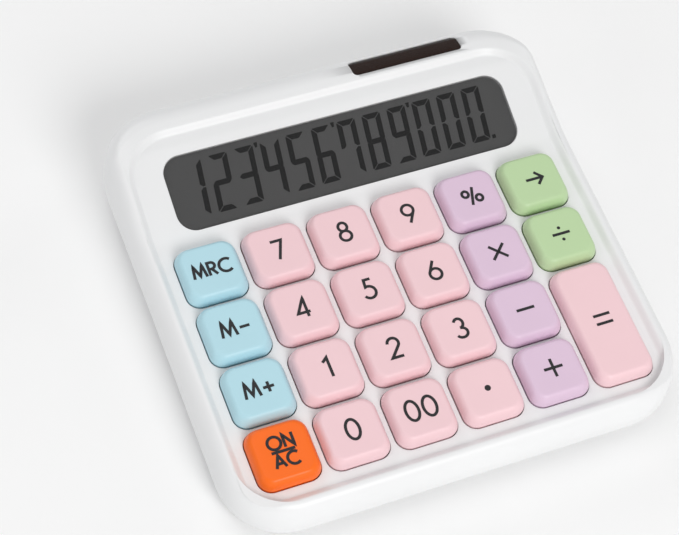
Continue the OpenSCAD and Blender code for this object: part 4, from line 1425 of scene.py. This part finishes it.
def build_window(display):
    """The display window: a flat clear sheet with soft upper edges"""
    bm = bmesh.new()
    middle = (0, display.window_edge + display.window_length / 2)
    top = display.window_thickness - display.window_rebate
    low = 0.06 - display.window_rebate

    def outline(inset, level):
        return at_level(
            rounded_box(
                display.window_width - 2 * inset, display.window_length - 2 * inset,
                display.window_corner - inset, steps=10, middle=middle,
            ),
            level,
        )

    ring = new_ring(bm, outline(0, low))
    cap_ring(bm, ring)
    turns, edge = (0, 0.5, 1.05, math.pi / 2), 0.25
    rounding = [(edge * (1 - math.cos(turn)), top - edge * (1 - math.sin(turn))) for turn in turns]
    cap_ring(bm, draw_rings(bm, ring, [outline(*entry) for entry in rounding]))
    return bm


def build_film(display):
    """The dark film behind the window"""
    bm = bmesh.new()
    outline = rounded_box(
        display.window_width - 0.1, display.window_length - 0.1, display.window_corner - 0.05,
        middle=(0, display.window_edge + display.window_length / 2),
    )
    ring = new_ring(bm, at_level(outline, 0.005 - display.window_rebate))
    cap_ring(bm, ring)
    cap_ring(bm, draw_ring(bm, ring, at_level(outline, display.film_top)))
    return bm


class CALCULATOR_OT_display(bpy.types.Operator):
    """Builds the display's window and digits, and paints its inner parts"""

    bl_idname = "calculator.display"
    bl_label = "Display"

    def execute(self, context):
        case, display, colours = sizes(context, "case"), sizes(context, "display"), sizes(context, "colours")
        place = to_face(case, display)
        smoked = clear_cover("smoked_window", colours.smoke, 0.3)
        finish_piece(
            build_window(display), "display_cover", place, smoked, "case", "display_window", ["display_window"]
        )
        film = moulded("display_film", colours.film, tone=0.05, roughness=0.5, grain=0.02)
        finish_piece(build_film(display), "display_film", place, film, "case", "lcd_glass", even=False)
        segments = moulded("lcd_segments", colours.segments, tone=0.1, roughness=0.45, grain=0.02)
        finish_piece(build_digits(display), "lcd_digits", place, segments, "case", "lcd_glass", even=False)
        repaint("lcd_glass", moulded("lcd_cell", colours.cell, tone=0.04, roughness=0.3, grain=0.02))
        repaint("lcd_reflector", moulded("lcd_foil", colours.foil, tone=0.1))
        repaint("lcd_frame", insert_plastic(colours))
        repaint("lcd_ribbon", moulded("amber_film", colours.amber, tone=0.2, roughness=0.3))
        return {"FINISHED"}


# ---------------------------------------------------------------- power


ACROSS = Matrix.Rotation(math.pi / 2, 4, "Y")
DOOR_RIBS = (-14, 14)
GRIP_GROOVES = 4


def edges_of(verts):
    """The edges that meet vertices, each once"""
    return list(dict.fromkeys(edge for vert in verts for edge in vert.link_edges))


def build_door(case, power):
    """The battery door: a plate with a round hinge edge, pins, a snap tongue and ribs"""
    low, high = box_of("battery_door")
    middle = bay_middle()
    base, thick, back = case.base, power.door_thickness, high.y
    top = base + thick
    half = power.bay_half_length + power.door_overlap
    hinge = (middle.x, low.y + thick / 2, base + thick / 2)
    bm = bmesh.new()
    plate = add_box(bm, (middle.x - half, hinge[1], base), (middle.x + half, back, top))
    softened = [
        edge for edge in edges_of(plate)
        if min(vert.co.y for vert in edge.verts) > hinge[1] + 0.1
        or abs(edge.verts[0].co.y - edge.verts[1].co.y) > 1
    ]
    bevel_edges(bm, softened, 0.3)
    add_rod(bm, thick / 2, -half, half, hinge, 24, ACROSS)
    pins = half + power.hinge_reach
    add_rod(bm, power.hinge_pin, -pins, pins, hinge, 20, ACROSS)
    tongue = add_box(bm, (middle.x - 3.5, back - 1.6, top - 0.2), (middle.x + 3.5, back - 0.5, top + 1.6))
    bevel_edges(bm, edges_of(tongue), 0.25)
    for x in (middle.x + side for side in DOOR_RIBS):
        add_box(bm, (x - 1, middle.y - 4, top - 0.2), (x + 1, middle.y + 4, base + case.floor - 0.1))
    return bm


def grip_cutters(case):
    """Grooves of the battery door's grip, each shorter than the last"""
    back = box_of("battery_door")[1].y
    bm = bmesh.new()
    for k in range(GRIP_GROOVES):
        half = 6 - 0.6 * k
        add_rod(bm, 0.45, -half, half, (bay_middle().x, back - 3.6 - 1.6 * k, case.base), 16, ACROSS)
    return bm


def build_cell():
    """The round cell: a rolled can with a shoulder groove, and its button"""
    low, high = box_of("battery_cell")
    radius, rolled = (high.z - low.z) / 2, 0.35
    can = high.x - low.x - 1
    profile = [(0, 0), (radius - 0.9, 0), (radius - 0.9, 0.12)]
    profile += arc(radius - rolled, 0.12 + rolled, rolled, rolled, -90, 0, 4)
    profile += [(radius, can - 0.5), (radius - rolled, can - 0.1), (radius - 0.8, can)]
    profile += [(2.1, can), (1.9, can + 0.15), (1.9, can + 0.8), (1.7, can + 1), (0, can + 1)]
    bm = bmesh.new()
    spin_profile(bm, profile, (0, 0, 0), 40)
    turn = Matrix.Translation((low.x, bay_middle().y, bay_middle().z)) @ ACROSS
    bmesh.ops.transform(bm, matrix=turn, verts=bm.verts)
    return bm


SPRING_TURNS = 3.5
SPRING_STEPS = 84
SPRING_SIDES = 8
SPRING_WIDE, SPRING_NARROW = 3.5, 1.6


def build_contact_spring(power):
    """The contact spring: one wire wound into a cone on its leaf"""
    low, high = box_of("contact_spring")
    wire = power.wire
    bm = bmesh.new()
    add_box(bm, (low.x, low.y + 1, low.z), (low.x + 0.4, high.y - 1, high.z))
    start, end = low.x + wire + 0.25, high.x - wire

    def section(share):
        turn = share * SPRING_TURNS * math.tau
        outward = Vector((0, math.cos(turn), math.sin(turn)))
        middle = Vector((start + (end - start) * share, (low.y + high.y) / 2, bay_middle().z))
        middle += outward * (SPRING_WIDE + (SPRING_NARROW - SPRING_WIDE) * share)
        around = circle(0, 0, wire, SPRING_SIDES)
        return [middle + outward * out + Vector((along, 0, 0)) for out, along in around]

    ring = new_ring(bm, section(0))
    cap_ring(bm, ring)
    cap_ring(bm, draw_rings(bm, ring, [section(k / SPRING_STEPS) for k in range(1, SPRING_STEPS + 1)]))
    return bm


def cell_wrapper(colours):
    """A printed sleeve: dark, with a bright band at its button end"""
    material, tree, shader = new_material("cell_wrapper")
    place = add_node(tree, "TexCoord").outputs["Object"]
    across = add_node(tree, "SeparateXYZ", {0: place}).outputs["X"]
    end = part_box("battery_cell")[1].x
    band = add_node(tree, "Math", {0: across, 1: end - 12 * MM}, operation="GREATER_THAN")
    steel = add_node(tree, "Math", {0: across, 1: end - 1.7 * MM}, operation="GREATER_THAN")
    scuffs = add_node(tree, "TexNoise", {"Vector": place, "Scale": 700, "Detail": 4})
    tone = blend_colours(tree, band.outputs[0], colours.wrapper, colours.band)
    shown = blend_colours(tree, steel.outputs[0], tone, colours.can)
    gloss = add_node(tree, "MapRange", {"Value": scuffs.outputs["Fac"], "To Min": 0.2, "To Max": 0.4})
    tree.links.new(shown, shader.inputs["Base Color"])
    tree.links.new(gloss.outputs["Result"], shader.inputs["Roughness"])
    tree.links.new(steel.outputs[0], shader.inputs["Metallic"])
    return material


def build_solar_cover(case, display, power):
    """The solar cover: flat below, its top following the back rim just under the pocket's edge"""
    play, sunk = 0.1, power.solar_cover_sunk

    def rim_level(y):
        share = max((y - case.back + case.back_round) / case.back_round, 0)
        return case.widest + crest_rise(case, display, y) * math.sqrt(1 - share * share)

    def row(inset, drop):
        plan = rounded_box(
            power.solar_width - 2 * (play + inset), power.solar_length - 2 * (play + inset),
            power.solar_corner - play - inset, steps=6, middle=(power.solar_x, power.solar_y),
        )
        return [(x, y, rim_level(y) - drop) for x, y in plan]

    bm = bmesh.new()
    ring = new_ring(bm, [(x, y, power.solar_seat + 0.02) for x, y, _ in row(0, 0)])
    cap_ring(bm, ring)
    ring = draw_rings(bm, ring, [row(0, sunk + 0.15), row(0.15, sunk), row(0.9, sunk)])
    quarter = len(ring) // 4
    right = ring[:quarter][::-1] + ring[3 * quarter :][::-1]
    left = ring[quarter : 3 * quarter]
    for rung in list(zip(right, left))[1:-1]:
        bm.edges.new(rung)
    for k in range(len(left) - 1):
        cap_ring(bm, [right[k], left[k], left[k + 1], right[k + 1]])
    return bm


class CALCULATOR_OT_power(bpy.types.Operator):
    """Builds the battery door, cell and contacts, and paints the solar parts"""

    bl_idname = "calculator.power"
    bl_label = "Power"

    def execute(self, context):
        case, display = sizes(context, "case"), sizes(context, "display")
        power, colours = sizes(context, "power"), sizes(context, "colours")
        white, steel = shell_plastic(colours), metal("plated_steel", colours.steel)
        smoke = clear_cover("solar_smoke", colours.solar, 0.7)
        on_deck = to_deck(case)
        pieces = [
            (build_door(case, power), "door_plate", TO_TABLE, white, "door", "white_shell", "battery_door"),
            (build_cell(), "round_cell", TO_TABLE, cell_wrapper(colours), "case", "cell_can", "battery_cell"),
            (
                build_contact_spring(power), "coil_contact", TO_TABLE, steel, "case", "contact_steel",
                "contact_spring",
            ),
            (
                build_solar_cover(case, display, power), "solar_cover", on_deck, smoke, "case", "solar_window",
                "solar_window",
            ),
        ]
        for *piece, replaced in pieces:
            finish_piece(*piece, [replaced])
        cut_piece(bpy.data.objects["door_plate"], grip_cutters(case), TO_TABLE)
        repaint("contact_plate", steel)
        repaint("solar_cell", solar_stripes(colours, power, on_deck))
        repaint("solar_bracket", insert_plastic(colours))
        return {"FINISHED"}


class CALCULATOR_OT_inner_parts(bpy.types.Operator):
    """Paints the board, the mat, the wires and the screws inside the case"""

    bl_idname = "calculator.inner_parts"
    bl_label = "Inner parts"

    def execute(self, context):
        colours = sizes(context, "colours")
        steel = metal("plated_steel", colours.steel)
        for node in ("case_screws", "board_screws", "lcd_screws", "solar_screws"):
            repaint(node, steel)
        repaint("main_board", circuit_board(colours))
        repaint("keypad_mat", moulded("silicone", colours.silicone, tone=0.06, roughness=0.65, grain=0.2))
        repaint("controller_chip", moulded("chip_resin", colours.resin, tone=0.2, roughness=0.3))
        repaint("board_capacitors", moulded("sleeve_blue", colours.sleeve, tone=0.1, roughness=0.3))
        for tint, sheath in (("red", colours.red), ("black", colours.resin)):
            wire = moulded("wire_" + tint, sheath, tone=0.1, roughness=0.35)
            repaint("battery_lead_" + tint, wire)
            repaint("solar_lead_" + tint, wire)
        return {"FINISHED"}


# ---------------------------------------------------------------- the stage


# Name, place, size, strength and colour of each soft light; all face the calculator
LIGHTS = [
    ("front_light", (0.1, -1.3, 0.95), 0.8, 13, (1.0, 0.995, 0.99)),
    ("top_light", (-0.2, 0.5, 1.7), 1.2, 4.0, (1.0, 1.0, 1.0)),
    ("left_light", (-1.5, -0.1, 0.7), 0.9, 2.0, (0.98, 0.99, 1.0)),
    ("right_light", (1.4, 0.3, 0.8), 0.9, 1.6, (0.98, 0.99, 1.0)),
    ("back_light", (-0.3, 1.6, 0.8), 0.9, 5.0, (0.98, 0.99, 1.0)),
]


FLOOR_GAP = 0.0001


def facing(place, target, roll=0):
    """A turn that looks from place to target"""
    look = (Vector(target) - Vector(place)).to_track_quat("-Z", "Y").to_matrix().to_4x4()
    return Matrix.Translation(place) @ look @ Matrix.Rotation(roll, 4, "Z")


class CALCULATOR_OT_stage(bpy.types.Operator):
    """Sets the camera, the floor and the lights"""

    bl_idname = "calculator.stage"
    bl_label = "Stage"

    def execute(self, context):
        scene = context.scene
        stage = scene.calculator_stage
        lens = bpy.data.cameras.new("camera")
        lens.sensor_width = 36
        lens.lens = stage.lens
        lens.clip_start = 0.01
        camera = bpy.data.objects.new("camera", lens)
        camera.matrix_world = facing(stage.camera, stage.target, stage.roll)
        scene.collection.objects.link(camera)
        scene.camera = camera

        bm = bmesh.new()
        bmesh.ops.create_grid(bm, x_segments=1, y_segments=1, size=stage.floor_size / 2)
        mesh = bpy.data.meshes.new("floor")
        bm.to_mesh(mesh)
        bm.free()
        floor = bpy.data.objects.new("floor", mesh)
        floor.location.z = -FLOOR_GAP
        colours = sizes(context, "colours")
        mesh.materials.append(moulded("pale_floor", colours.floor, tone=0.01, roughness=0.7, grain=0.02))
        scene.collection.objects.link(floor)

        for name, place, size, strength, tint in LIGHTS:
            lamp = bpy.data.lights.new(name, "AREA")
            lamp.shape = "DISK"
            lamp.size = size
            lamp.energy = strength
            lamp.color = tint
            light = bpy.data.objects.new(name, lamp)
            light.matrix_world = facing(place, (0, 0, 0))
            scene.collection.objects.link(light)

        world = bpy.data.worlds.new("soft_light")
        world.use_nodes = True
        sky = world.node_tree.nodes["Background"]
        sky.inputs["Color"].default_value = (1, 1, 1, 1)
        sky.inputs["Strength"].default_value = stage.sky
        scene.world = world
        scene.view_settings.view_transform = "Standard"
        return {"FINISHED"}


# ---------------------------------------------------------------- the add-on


OPERATORS = [
    CALCULATOR_OT_stage,
    CALCULATOR_OT_top_case,
    CALCULATOR_OT_rear_cover,
    CALCULATOR_OT_feet,
    CALCULATOR_OT_keycaps,
    CALCULATOR_OT_legends,
    CALCULATOR_OT_display,
    CALCULATOR_OT_power,
    CALCULATOR_OT_inner_parts,
]


class CALCULATOR_PT_pieces(bpy.types.Panel):
    """Lists the pieces of the calculator"""

    bl_label = "Calculator"
    bl_idname = "CALCULATOR_PT_pieces"
    bl_space_type = "VIEW_3D"
    bl_region_type = "UI"
    bl_category = "Calculator"

    def draw(self, context):
        for operator in OPERATORS:
            self.layout.operator(operator.bl_idname)
        for name, group in SETTINGS.items():
            box = self.layout.box()
            box.label(text=group.__doc__)
            for key in group.__annotations__:
                box.prop(getattr(context.scene, name), key)


def register():
    for group in SETTINGS.values():
        bpy.utils.register_class(group)
    for name, group in SETTINGS.items():
        setattr(bpy.types.Scene, name, PointerProperty(type=group))
    for operator in OPERATORS:
        bpy.utils.register_class(operator)
    bpy.utils.register_class(CALCULATOR_PT_pieces)


def unregister():
    bpy.utils.unregister_class(CALCULATOR_PT_pieces)
    for operator in reversed(OPERATORS):
        bpy.utils.unregister_class(operator)
    for name, group in SETTINGS.items():
        delattr(bpy.types.Scene, name)
        bpy.utils.unregister_class(group)


def main():
    register()
    bpy.ops.calculator.stage()
    bpy.ops.calculator.top_case()
    bpy.ops.calculator.rear_cover()
    bpy.ops.calculator.feet()
    bpy.ops.calculator.keycaps()
    bpy.ops.calculator.legends()
    bpy.ops.calculator.display()
    bpy.ops.calculator.power()
    bpy.ops.calculator.inner_parts()
    bpy.context.view_layer.update()


if __name__ == "__main__":
    main()
